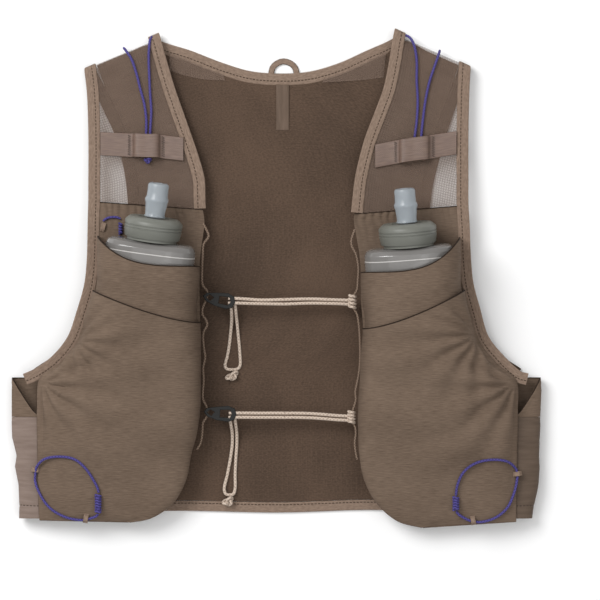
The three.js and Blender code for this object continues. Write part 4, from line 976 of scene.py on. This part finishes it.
def add_stage():
    """The camera, the lamps, the sky and a pale floor."""
    link = bpy.context.scene.collection.objects.link
    camera = bpy.data.objects.new("camera", bpy.data.cameras.new("camera"))
    link(camera)
    camera.location = ((PHOTO_MIDDLE - VEST_MIDDLE[0]) / VEST_PIXELS[0] * VEST_WIDTH * MM,
                       (VEST_MIDDLE[1] - PHOTO_MIDDLE) / VEST_PIXELS[1] * VEST_LENGTH * MM, CAMERA_HEIGHT)
    camera.data.sensor_width = SENSOR
    camera.data.lens = SENSOR * VEST_DISTANCE / PHOTO_SPAN
    camera.data.clip_end = 20
    bpy.context.scene.camera = camera

    mesh = bpy.data.meshes.new("floor")
    corners = ((-1, -1), (1, -1), (1, 1), (-1, 1))
    mesh.from_pydata([(x * FLOOR_REACH, y * FLOOR_REACH, 0) for x, y in corners], [], [(0, 1, 2, 3)])
    mesh.materials.append(Shader("pale floor", "f4f4f4", 0.9).material)
    floor = bpy.data.objects.new("floor", mesh)
    floor.location.z = -FLOOR_DROP
    link(floor)
    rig.stage(floor)

    for name, place, size, energy in LAMPS:
        lamp = bpy.data.lights.new(name, "AREA")
        lamp.size = size
        lamp.energy = energy
        light = bpy.data.objects.new(name, lamp)
        light.location = place
        light.rotation_euler = (-Vector(place)).to_track_quat("-Z", "Y").to_euler()
        link(light)

    world = bpy.data.worlds.new("studio")
    world.use_nodes = True
    sky = world.node_tree.nodes["Background"].inputs
    sky[0].default_value = (1.0, 1.0, 1.0, 1.0)
    sky[1].default_value = SKY
    bpy.context.scene.world = world
    bpy.context.scene.view_settings.view_transform = "Standard"


KNOT_STEP = 0.6
KNOT_WAIST = 0.12
# Each shoulder knot's place and size
SHOULDER_KNOTS = {
    "left": (at(-0.2430, 0.2384, 17), (7, 6, 5)),
    "right": (at(0.2689, 0.2495, 16), (8.5, 5, 4)),
}
LOOP_KNOTS = {
    "upper": (at(-0.0833, -0.1972, 5.2), (13, 8, 6)),
    "lower": (at(-0.0909, -0.4507, 6.0), (11, 8.6, 7)),
}
# Each hitch's place across, and its lower and upper end
HITCHES = {"upper": (0.1448, -0.0590, -0.0340), "lower": (0.1432, -0.2905, -0.2680)}
HITCH_TURNS = 3.5
UNDER_HOOK = 7.0
HOOK_DROP = 0.5
# Tied and wound cords are drawn this much thinner
TIED = 0.95
DRAWN = 0.9


def routed(rows):
    return [at(*row) for row in rows]


def into_hook(points):
    """The strand, drawn on under the hook so that its window shows it."""
    first = points[0]
    return [first - np.array([run, 0, HOOK_DROP]) for run in (UNDER_HOOK, UNDER_HOOK / 2)] + points


def add_cord(name, node, points, diameter, look, far_end, lay, with_pieces=(), reverse=False):
    """A cord with its route, which starts at its last point with reverse."""
    piece, line = tube(name, node, points, diameter, look)
    path = [tuple(p * MM) for p in (line[::-1] if reverse else line)]
    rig.cord(piece, exit=path[0], length=float(runs(line)[-1]) * MM, diameter=diameter * MM, far_end=far_end,
            stiffness="limp", lay=lay, path=path, with_pieces=with_pieces)


def tight_knot(name, node, centre, size, diameter, look, turn=0.0):
    """A tied knot: a trefoil drawn up into the given size."""
    t = np.linspace(0, 2 * math.pi, 40)
    trefoil = np.stack([np.sin(t) + 2 * np.sin(2 * t), np.cos(t) - 2 * np.cos(2 * t), -np.sin(3 * t)], axis=1)
    trefoil *= (np.array(size, float) - diameter) / 2 / np.abs(trefoil).max(axis=0)
    c, s = math.cos(turn), math.sin(turn)
    points = trefoil @ np.array([[c, s, 0], [-s, c, 0], [0, 0, 1.0]])
    return tube(name, node, points + centre, diameter, look, 0.7)[0]


def barrel_knot(name, node, centre, half, across, diameter, turns):
    """Turns wound round the cord, to half the knot's length on each side of its centre."""
    t = np.linspace(0, 1, int(16 * turns) + 1)
    angle = 2 * math.pi * turns * t
    waist = (across - diameter) / 2 * (1 - KNOT_WAIST * np.sin(math.pi * t))
    points = centre + np.stack([-waist * np.cos(angle), half * (1 - 2 * t), waist * np.sin(angle)], axis=1)
    return tube(name, node, points, diameter, PURPLE, KNOT_STEP)[0]


def add_hitch(which):
    """The chest cord's turns round the right lacing."""
    x, low, high = HITCHES[which]
    t = np.linspace(0, 1, 57)
    radius = (LACE_DIAMETER + STERNUM_DIAMETER) / 2 + 0.15
    angle = 2 * math.pi * HITCH_TURNS * t
    points = np.stack([x * VEST_WIDTH + radius * np.cos(angle), mix(low, high, t) * VEST_LENGTH,
                       CHEST_LEVEL + radius * np.sin(angle)], axis=1)
    return tube(f"{which}_hitch", None, points, STERNUM_DIAMETER * TIED, BEIGE, 0.8)[0]


def add_cords():
    for side, rows in LACING.items():
        add_cord(f"{side}_lacing", f"{side}_lacing_cord", [at(x, y, CHEST_LEVEL) for x, y in rows],
                 LACE_DIAMETER, LACE, "object", "taut")
    for side, (place, size) in SHOULDER_KNOTS.items():
        lump = tight_knot(f"{side}_shoulder_tie", f"{side}_shoulder_knot", place, size,
                          SHOULDER_DIAMETER * DRAWN, PURPLE)
        for strand, pieces in (("inner", [lump]), ("outer", [])):
            node = f"{side}_shoulder_cord_{strand}"
            add_cord(node.replace("cord", "line"), node, routed(SHOULDER_CORDS[node]), SHOULDER_DIAMETER,
                     PURPLE, "knot", "loose", pieces, reverse=True)
    for node, rows in STRANDS.items():
        pieces = [add_hitch(node.split("_")[0])] if node.endswith("upper") else []
        add_cord(node.replace("strand", "line"), node, into_hook(routed(rows)), STERNUM_DIAMETER, BEIGE,
                 "object", "taut", pieces)
    for which, (place, size) in LOOP_KNOTS.items():
        lump = tight_knot(f"{which}_loop_tie", f"{which}_loop_knot", place, size, STERNUM_DIAMETER * TIED,
                          BEIGE, 0.5)
        add_cord(f"{which}_loop_line", f"{which}_loop_cord", routed(LOOP_CORDS[which]), STERNUM_DIAMETER,
                 BEIGE, "object", "loose", [lump])


def hem_relief(along, depth=0.45, width=6.0):
    """How far a fold of cloth stands out up to a width, and 0 after it."""
    return depth * (1 - smooth((along - width + 0.6) / 0.9))


def noise_field(grid, scale, seed):
    rows, columns = grid.shape[:2]
    spots = (grid / scale + [0, 0, seed]).reshape(-1, 3)
    return np.array([noise.noise(Vector(spot)) for spot in spots]).reshape(rows, columns)


def from_edges(run, axis=1):
    """How far each place lies from the nearer end of its run."""
    return np.minimum(run, run.max(axis=axis, keepdims=True) - run)


BACK_LEVEL = BINDING_THICKNESS / 2
SHOULDER_TUCK = 0.008
# Shares of the width where the tuck starts and what it takes to be full, and of the length
TUCK_START, TUCK_SPREAD = 0.2, 0.03
TUCK_LEVEL = 0.9


def back_relief(places, run, climb):
    """The back cloth's soft waves, flat near its edges."""
    away = smooth(np.minimum(from_edges(run), from_edges(climb, 0)) / 25)
    return away * (1.0 + 1.0 * noise_field(places, 42, 3.0) + 0.3 * noise_field(places, 15, 9.0))


def add_back_panel():
    across, up = np.linspace(0, 1, 121), np.linspace(0, 1, 109)
    low, top = [np.array([spline(routed(rows), u) for u in across]) for rows in (HEM_LINE, BACK_TOP)]
    left, right = [np.array([spline([at(row[k], row[2]) for row in BACK_SIDE], v) for v in up])
                   for k in (0, 1)]
    u, v = across[None, :, None], up[:, None, None]
    corners = mix(mix(low[0], low[-1], u), mix(top[0], top[-1], u), v)
    grid = mix(low, top, v) + mix(left[:, None], right[:, None], u) - corners
    grid[:, :, 2] = BACK_CLOTH / 2
    beyond = np.clip((np.abs(grid[-1, :, 0]) / VEST_WIDTH - TUCK_START) / TUCK_SPREAD, 0, 1)
    climb = smooth((up - TUCK_LEVEL) / (1 - TUCK_LEVEL))
    grid[:, :, 1] += climb[:, None] * beyond[None, :] * SHOULDER_TUCK * VEST_LENGTH
    cloth("back_cloth", "back_panel", grid, BACK_CLOTH, LINING, UP, back_relief, "laid", ["back_hem"])
    hem = [(np.array([p[0], p[1], BACK_LEVEL]), UP) for p in low]
    swept("back_hem_band", "back_hem", tape_stations(hem, 4.0),
          tape_section(CLEARANCE, HEM_WIDTH, BINDING_THICKNESS), BINDING)


# The way out over each shoulder, and the rows of FRONT where places are taken
OUTWARD = {"left": np.array([-0.40, 0.917, 0]), "right": np.array([0.42, 0.907, 0])}
STRAP_ROWS = [0.5, 1, 1.5, 2, 2.5, 3, 3.5, MESH_END]
CHEST_ROWS = [4.5, 5, 6, 7, 8, 9, 10, ARMHOLE_END]
FOLD_START = 0.2
APEX_REACH = {"inner": 4.0, "outer": 0.5}
EDGE_COVER = 1.2
ARMHOLE_FOOT = {"left": (-0.472, -0.212), "right": (0.474, -0.212)}


def fold_places(side, edge):
    """The binding's places and normals round the shoulder's fold, from front to back."""
    top, end = edge_at(side, edge, FOLD_START), edge_at(side, edge, 0)
    radius = (top[2] - BACK_LEVEL) / 2
    along = unit((end - top) * [1, 1, 0])
    places = []
    for turn in np.linspace(0, math.pi, 5):
        place = end + along * (radius * (math.sin(turn) - 1) + APEX_REACH[edge] * math.sin(turn))
        place[2] = BACK_LEVEL + radius * (1 + math.cos(turn))
        places.append((place, UP * math.cos(turn) + OUTWARD[side] * math.sin(turn)))
    return places


def add_bindings():
    straps = {side: [(edge_at(side, "inner", row), UP) for row in STRAP_ROWS] for side in SIDES}
    neckline = [(at(x, y, BACK_LEVEL), -UP) for x, y in BACK_TOP[3:10]]
    places = [*straps["left"][::-1], *fold_places("left", "inner"), *neckline,
              *fold_places("right", "inner")[::-1], *straps["right"]]
    swept("neck_band", "neck_binding", tape_stations(places),
          tape_section(-EDGE_COVER, BINDING_WIDTH, BINDING_THICKNESS), BINDING)
    for side, foot in ARMHOLE_FOOT.items():
        rows = [*STRAP_ROWS, *CHEST_ROWS][::-1]
        front = [(edge_at(side, "outer", row), UP) for row in rows]
        back = [(at(row[RANK[side]], row[2], BACK_LEVEL), -UP) for row in BACK_SIDE[2:-1][::-1]]
        places = [(at(*foot, CHEST_LEVEL), UP), *front, *fold_places(side, "outer"), *back]
        away = AWAY[side]
        swept(f"{side}_armhole_band", f"{side}_armhole_binding", tape_stations(places),
              tape_section(-away * EDGE_COVER, away * BINDING_WIDTH, BINDING_THICKNESS), SHADED_ARMHOLE_TAPE)


NET = 0.5
KNIT_THICKNESS = CLOTH * 0.8


def add_yokes():
    for side in SIDES:
        top, low = [[at(row[k], row[k + 1]) for row in YOKE] for k in (4 * RANK[side], 4 * RANK[side] + 2)]
        grid = np.array([[mix(spline(top, v), spline(low, v), u) for u in np.linspace(0, 1, 10)]
                         for v in np.linspace(0, 1, 30)])
        grid[:, :, 2] = BINDING_THICKNESS + CLEARANCE + CLOTH / 2
        cloth(f"{side}_neck_mesh", f"{side}_yoke", grid, NET, MESH, UP, held="laid", rests_on=["back_panel"])


def front_grid(side, us, rows):
    edges = [(edge_at(side, "inner", r), edge_at(side, "outer", r)) for r in rows]
    return np.array([[mix(a, b, u) for u in us] for a, b in edges])


def strap_relief(places, run, climb):
    return smooth(from_edges(run) / 12) * smooth(climb / 15) * 0.5 * noise_field(places, 30, 2.0)


def add_straps():
    for side in SIDES:
        rows = [0, 0.015, 0.03, 0.05, 0.08, 0.12, 0.2, *np.linspace(0.3, MESH_END, 60)]
        cloth(f"{side}_strap_net", f"{side}_strap_mesh", front_grid(side, np.linspace(0, 1, 40), rows), NET,
              MESH, UP, strap_relief, rests_on=["neck_binding", f"{side}_armhole_binding"])


ZIGZAG_WIDTH = 2.2
ZIGZAG_PITCH = 2.0
ZIGZAG_INSET = 1.5
THREAD_RADIUS = 0.28


def webbing_row(y):
    spacing = FRONT[2][1] - FRONT[3][1]
    return 2 + (FRONT[2][1] - y + WEBBING_WIDTH / 2 / VEST_LENGTH) / spacing


def webbing_places(side):
    k = 2 * RANK[side]
    lift = CLOTH / 2 + CLEARANCE + WEBBING_THICKNESS / 2
    return [at(row[k], row[k + 1], front_level(webbing_row(row[k + 1])) + lift + row[4] * LOOP_RISE)
            for row in WEBBING]


def zigzag(name, centre):
    """A zigzag line of stitches over the webbing's width."""
    line = bpy.data.curves.new(name, "CURVE")
    line.dimensions = "3D"
    line.bevel_depth = THREAD_RADIUS * MM
    line.bevel_resolution = 1
    reach = WEBBING_WIDTH / 2 - ZIGZAG_INSET
    count = int(4 * reach / ZIGZAG_PITCH)
    run = line.splines.new("POLY")
    run.points.add(count)
    for i, point in enumerate(run.points):
        away = ZIGZAG_WIDTH / 2 * (-1 if i % 2 else 1)
        spot = centre + np.array([away, reach * (2 * i / count - 1), WEBBING_THICKNESS / 2 + 0.2])
        point.co = (*(spot * MM), 1)
    line.materials.append(THREAD[0])
    add_piece(name, None, line, THREAD[1])


def add_webbings():
    width = np.array([0, 1.0, 0])
    half = WEBBING_WIDTH / 2
    for side in SIDES:
        places = webbing_places(side)
        fine = resample(places, 1.5)
        stations = [(place, width, unit(np.cross(width, slope)))
                    for place, slope in zip(fine, np.gradient(fine, axis=0))]
        swept(f"{side}_webbing_band", f"{side}_webbing", stations,
              tape_section(-half, half, WEBBING_THICKNESS), WEBBING_CLOTH)
        for label, spot, shift in (("near", places[1], 1.0), ("far", places[7], -0.5)):
            zigzag(f"{side}_stitch_{label}", spot + np.array([AWAY[side] * shift, 0, 0]))


CORNER_REACH = 6.0
GATHER_DEPTH = 0.8
GATHER_PITCH = 6.5


def gathers(places, run, climb):
    """The ruffles of the base cloth, below its upper seam."""
    waves = GATHER_DEPTH * np.sin(2 * math.pi * run / GATHER_PITCH + 3 * noise_field(places, 14, 1.0))
    return waves * np.exp(-climb / 12)


def add_pocket_backs():
    rows, us = np.linspace(MESH_END + 0.02, LAST_ROW, 130), np.linspace(0, 1, 90)
    for side in SIDES:
        grid = front_grid(side, us, rows)
        corner = CORNER_REACH * (1 - smooth((rows - MESH_END) / 1.6))
        grid[:, :, 0] -= AWAY[side] * corner[:, None] * (1 - us)[None, :] ** 3
        cloth(f"{side}_base_cloth", f"{side}_pocket_back", grid, KNIT_THICKNESS, KNIT, UP, gathers,
              rests_on=[f"{side}_strap_mesh", f"{side}_armhole_binding"])


# The creases' centre, depth and reach
FOLD_CENTRES = {
    "left": [(at(-0.447, -0.21), 2.4, 95), (at(-0.381, -0.124), 1.8, 55)],
    "right": [(at(0.455, -0.21), 2.4, 95), (at(0.378, -0.112), 2.2, 65)],
}
CREASES = 13
CREASE_START = 22
LUMPS = ((2.2, 40, 7.0), (0.45, 14, 4.0))


def turns(count):
    """Turns from 0 to 1, closer together near both ends."""
    t = np.linspace(0, 1, count)
    return t - 0.2 * np.sin(2 * math.pi * t) / math.pi


def pocket_grid(side, rows, above, across, down):
    """The pocket's places, with its table of rows read smoothly between rows."""
    table = np.array(rows, float)
    grid = []
    for spot in np.linspace(0, len(rows) - 1, down):
        i = min(int(spot), len(rows) - 2)
        row = mix(table[i], table[i + 1], spot - i)
        grid.append([vault(side, turn, row, above) for turn in turns(across)])
    return np.array(grid)


def pocket_folds(side, places):
    """Creases that run out from the armhole's edge, and soft lumps."""
    fans = 0
    drift = 1.5 * noise_field(places, 60, 5.0)
    for centre, depth, reach in FOLD_CENTRES[side]:
        flat = places[:, :, :2] - centre[:2]
        radius = np.linalg.norm(flat, axis=2)
        angle = np.arctan2(flat[:, :, 1], flat[:, :, 0] * -AWAY[side])
        creases = depth * np.sin(CREASES * angle + drift) * np.exp(-radius / reach)
        fans = fans + creases * smooth(radius / CREASE_START)
    return fans + sum(high * noise_field(places, scale, seed) for high, scale, seed in LUMPS)


def bottle_relief(places, run, climb):
    return 1.2 * noise_field(places, 26, 6.0) * smooth(climb / 12)


def add_pockets():
    for side in SIDES:
        def front_relief(places, run, climb, side=side):
            fade = smooth(climb / 14) * smooth(from_edges(run) / 8)
            return 0.5 * np.exp(-climb / 4) + fade * pocket_folds(side, places)

        cloth(f"{side}_bottle_cloth", f"{side}_bottle_pocket", pocket_grid(side, BOTTLE_ROWS, 0, 110, 56),
              KNIT_THICKNESS, KNIT, UP, bottle_relief, rests_on=[f"{side}_flask_body"])
        cloth(f"{side}_front_cloth", f"{side}_front_pocket",
              pocket_grid(side, FRONT_ROWS, LAYER_STEP, 130, 150), KNIT_THICKNESS, KNIT, UP, front_relief,
              "gathered", [f"{side}_flask_body", f"{side}_pocket_back"])


# Shares of the length: the side's foot, its seam, and the yoke's brim from its middle to its ends
SIDE_FOOT, SIDE_SEAM = -0.484, -0.279
BRIM_TOP, BRIM_FOOT = -0.200, -0.272
SIDE_HEM = 11


def side_relief(places, run, climb):
    last = climb.max(axis=0, keepdims=True) - climb
    soft = smooth(from_edges(run) / 6) * 0.7 * noise_field(places, 28, 8.0) * smooth(climb / 8)
    return soft * smooth(last / 8) - hem_relief(np.abs(last - SIDE_HEM), 0.35, 1.2)


def brim_relief(places, run, climb):
    return hem_relief(climb, 0.35, 5)


def brim(turn):
    return mix(BRIM_TOP, BRIM_FOOT, 1 - math.sin(math.pi * max(turn, 0.5)))


def add_sides():
    spots = np.linspace(0, 1, 40)
    top = SIDE_SEAM - CLEARANCE / VEST_LENGTH
    for side in SIDES:
        outward = np.array([AWAY[side], 0.0, 0.0])
        panel, yoke = [
            np.array([[side_at(side, t, mix(high(t), low, v)) for t in spots]
                      for v in np.linspace(0, 1, count)])
            for high, low, count in ((lambda t: top, SIDE_FOOT, 50), (brim, SIDE_SEAM, 16))
        ]
        cloth(f"{side}_side_cloth", f"{side}_side_panel", panel, CLOTH, SIDE_CLOTH_SHADED_RIGHT[side], outward,
              side_relief, "folded", [f"{side}_pocket_back"])
        cloth(f"{side}_side_brim", f"{side}_side_yoke", yoke, CLOTH, KNIT, outward, brim_relief, "folded",
              [f"{side}_side_panel"])


FLASK_SIDES = 64
FLASK_ROUNDNESS = 2.4
FLASK_GIRTH = 40
AXLE = 0.3
GROOVES = (0.46, 0.60)
# Radii and heights of the valve, as shares of its radius and its length
VALVE_PROFILE = [
    (0.86, 0.2), (0.93, 0.42), (0.99, 0.47), (1, 0.51), (0.98, 0.55), (0.9, 0.6), (0.88, 0.8), (0.9, 0.92),
    (0.84, 0.975), (0.7, 1), (0.35, 1),
]


def add_flask(side):
    centre, along, across, up = flask_frame(side)
    shares, widths, heights = zip(*FLASK_SECTIONS)
    wanted = np.concatenate([np.linspace(0, 0.08, 22), np.linspace(0.1, 0.9, 30), np.linspace(0.91, 1, 18)])
    points, uvs = [], []
    for share in wanted:
        run = SHOULDER + share * FLASK_LENGTH
        width = np.interp(share, shares, widths) * FLASK_WIDTH / 2
        height = np.interp(share, shares, heights) * flask_half(run)
        points += ring(centre - along * run, across * width, up * height, FLASK_SIDES, FLASK_ROUNDNESS)
        uvs += [(2 * math.pi * k / FLASK_SIDES * FLASK_GIRTH * MM, share * FLASK_LENGTH * MM)
                for k in range(FLASK_SIDES)]
    ring_piece(f"{side}_soft_flask", f"{side}_flask_body", points, uvs, FLASK_SIDES, FLASK_FILM, sharp=40)


def add_cap(side):
    radius, top, valve = CAP_DIAMETER / 2, CAP_HEIGHT, VALVE_DIAMETER / 2
    neck, foot = NECK_DIAMETER / 2 - 0.8, CLEARANCE - NECK_HEIGHT
    profile = [(AXLE, foot), (neck, foot), (neck, 0), (radius * 0.93, 0), (radius * 0.955, 0.7)]
    for h in (top * share for share in GROOVES):
        profile += [(radius, h - 0.6), (radius - 0.6, h - 0.3), (radius - 0.6, h + 0.3), (radius, h + 0.6)]
    profile += [(radius, top - 3.9), (radius - 0.5, top - 3.0), (radius - 3.0, top - 0.7),
                (radius - 4.2, top), (valve + 3.4, top), (valve + 2.6, top - 0.8), (AXLE, top - 0.8)]
    lathe(f"{side}_screw_cap", f"{side}_flask_cap", side, profile, -top / 2, CAP_PLASTIC)


def add_valve(side):
    radius, length = VALVE_DIAMETER / 2, VALVE_LENGTH
    profile = [(AXLE, 0), (radius * 0.86, 0), (radius * 0.9, 0.8), (radius * 0.84, 2.2),
               *[(radius * r, length * h) for r, h in VALVE_PROFILE],
               (radius * 0.28, length - 0.8), (AXLE, length - 0.8)]
    lathe(f"{side}_valve", f"{side}_bite_valve", side, profile, CAP_HEIGHT / 2 + CLEARANCE, VALVE_SILICONE)


HOOKS = (("upper", -0.1080, -0.0423, -11), ("lower", -0.1060, -0.2716, -4))
HOOK_EDGE = 0.55


def add_hooks():
    for name, x, y, turn in HOOKS:
        outline = bpy.data.curves.new(f"{name}_clip", "CURVE")
        outline.dimensions = "2D"
        outline.fill_mode = "BOTH"
        outline.resolution_u = 5
        outline.extrude = (HOOK_THICKNESS / 2 - HOOK_EDGE) * MM
        outline.bevel_depth = HOOK_EDGE * MM
        outline.bevel_resolution = 2
        outline.offset = -HOOK_EDGE * MM
        for rows in (HOOK_OUTLINE, HOOK_RING, HOOK_WINDOW):
            run = outline.splines.new("BEZIER")
            run.bezier_points.add(len(rows) - 1)
            for (px, py), p in zip(rows, run.bezier_points):
                p.co = (px * HOOK_LENGTH * MM, py * HOOK_WIDTH * MM, 0)
                p.handle_left_type = p.handle_right_type = "VECTOR"
            run.use_cyclic_u = True
        curve = bpy.data.objects.new(f"{name}_clip_outline", outline)
        mesh = bpy.data.meshes.new_from_object(curve)
        bpy.data.objects.remove(curve)
        place = at(x, y, CHEST_LEVEL + LACE_DIAMETER / 2 + CLEARANCE + HOOK_THICKNESS / 2)
        mesh.transform(Matrix.Translation(Vector(place * MM)) @ Matrix.Rotation(math.radians(turn), 4, "Z"))
        mesh.materials.clear()
        mesh.materials.append(HOOK_PLASTIC[0])
        mesh.polygons.foreach_set("use_smooth", [True] * len(mesh.polygons))
        mesh.set_sharp_from_angle(angle=math.radians(40))
        add_piece(f"{name}_clip", f"{name}_hook", mesh, HOOK_PLASTIC[1])


RAY_START = 0.3


def surface_under(*names):
    """A function that gives the highest level of the pieces round a place."""
    trees = []
    for name in names:
        mesh = bpy.data.objects[name].data
        places, faces = [v.co.copy() for v in mesh.vertices], [tuple(p.vertices) for p in mesh.polygons]
        trees.append(BVHTree.FromPolygons(places, faces))

    def height(place, reach):
        steps = (-reach, 0, reach)
        spots = [Vector(((place[0] + dx) * MM, (place[1] + dy) * MM, RAY_START))
                 for dx in steps for dy in steps]
        hits = [tree.ray_cast(spot, Vector((0, 0, -1)))[0] for tree in trees for spot in spots]
        return max([0.0, *[hit.z / MM for hit in hits if hit is not None]])
    return height


def laid(rows, height, diameter):
    """A cord's places on the surface below its route."""
    plan = resample(routed(rows), 1.5 * diameter)
    tops = [height(p, diameter * 0.6) for p in plan]
    return [np.array([p[0], p[1], max(tops[max(i - 1, 0):i + 2]) + diameter / 2 + 0.25])
            for i, p in enumerate(plan)]


def arch(name, node, centre, turn, rise, length=8.0):
    """A short tape over a cord."""
    turn = math.radians(turn)
    along = np.array([math.cos(turn), math.sin(turn), 0])
    stations = []
    for t in np.linspace(-1, 1, 15):
        lift = 0.5 + rise * float(smooth((1 - abs(t)) / 0.55))
        stations.append((centre + along * t * length / 2 + UP * lift, np.cross(UP, along), UP))
    swept(name, node, stations, tape_section(-2, 2, 0.8), BINDING)


# Each knot's place, its half length and its turns
HEM_KNOTS = {
    "left": (at(-0.3362, -0.4527), 16.8 / 2 - 1, 16.8 / 2.6),
    "right": (at(0.3400, -0.4527), 13.0 / 2 - 1, 13.0 / 2.6),
}
HEM_TABS = {
    "left": (("upper", at(-0.4545, -0.3853), -8), ("lower", at(-0.3598, -0.4829), 80)),
    "right": (("upper", at(0.4568, -0.3934), 8), ("lower", at(0.3731, -0.4869), -80)),
}
KNOT_LIFT = 2.4


def add_hem_cords():
    for side in SIDES:
        height = surface_under(f"{side}_front_cloth", f"{side}_side_cloth", f"{side}_base_cloth")
        place, half, wound = HEM_KNOTS[side]
        centre = place + UP * (height(place, 4.0) + KNOT_LIFT)
        lump = barrel_knot(f"{side}_hem_tie", f"{side}_hem_knot", centre, half, 6.4, HEM_DIAMETER, wound)
        add_cord(f"{side}_hem_line", f"{side}_hem_cord", laid(HEM_CORDS[side], height, HEM_DIAMETER),
                 HEM_DIAMETER, PURPLE, "knot", "loose", [lump])
        for end, spot, turn in HEM_TABS[side]:
            arch(f"{side}_hem_keeper_{end}", f"{side}_hem_tab_{end}", spot + UP * height(spot, 1.0), turn,
                 HEM_DIAMETER + 0.7)


def add_flask_cord():
    height = surface_under("left_base_cloth")
    spot, place = at(-0.3277, 0.1036), at(-0.2945, 0.1006)
    arch("left_flask_keeper", "left_flask_tab", spot + UP * height(spot, 1.0), 75, 1.2, 7.5)
    barrel_knot("left_flask_tie", "left_flask_knot", place + UP * (height(place, 2.0) + KNOT_LIFT), 4.6, 4.2,
                LACE_DIAMETER * DRAWN, 4.0)
    tube("left_flask_line", "left_flask_cord", laid(FLASK_CORD, height, LACE_DIAMETER), LACE_DIAMETER, PURPLE)


LOOP_STRETCH = 1.25
# Rows before and after HANG_LOOP's, under the binding
LOOP_FEET = (-0.0105, -2.5), (0.0400, -2.5)


def add_neck_pieces():
    foot = BACK_TOP[6][1] * VEST_LENGTH + BINDING_WIDTH
    half = HANG_LOOP_WIDTH / 2
    loop = [(np.array([x * VEST_WIDTH, foot + rise * LOOP_STRETCH, WEBBING_THICKNESS / 2]), UP)
            for x, rise in (LOOP_FEET[0], *HANG_LOOP, LOOP_FEET[1])]
    swept("hanger", "hang_loop", tape_stations(loop, 1.2), tape_section(-half, half, WEBBING_THICKNESS),
          BINDING)
    half = NECK_TAPE_WIDTH / 2
    tape = [(at(x, y, BACK_CLOTH + CLEARANCE + CLOTH / 2), UP) for x, y in NECK_TAPE]
    swept("neck_strip", "neck_tape", tape_stations(tape, 4.0), tape_section(-half, half, CLOTH),
          NECK_TAPE_CLOTH)


add_stage()
add_cords()
add_back_panel()
add_bindings()
add_yokes()
add_straps()
add_webbings()
add_pocket_backs()
add_pockets()
add_sides()
for side in SIDES:
    add_flask(side)
    add_cap(side)
    add_valve(side)
add_hooks()
add_hem_cords()
add_flask_cord()
add_neck_pieces()

bpy.context.view_layer.update()
with open("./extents.json", "w") as out:
    json.dump({
        "cad": [[float(v) for v in corner] for corner in cad_box],
        "visual": [[float(v) for v in corner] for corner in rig.bounds()],
    }, out)
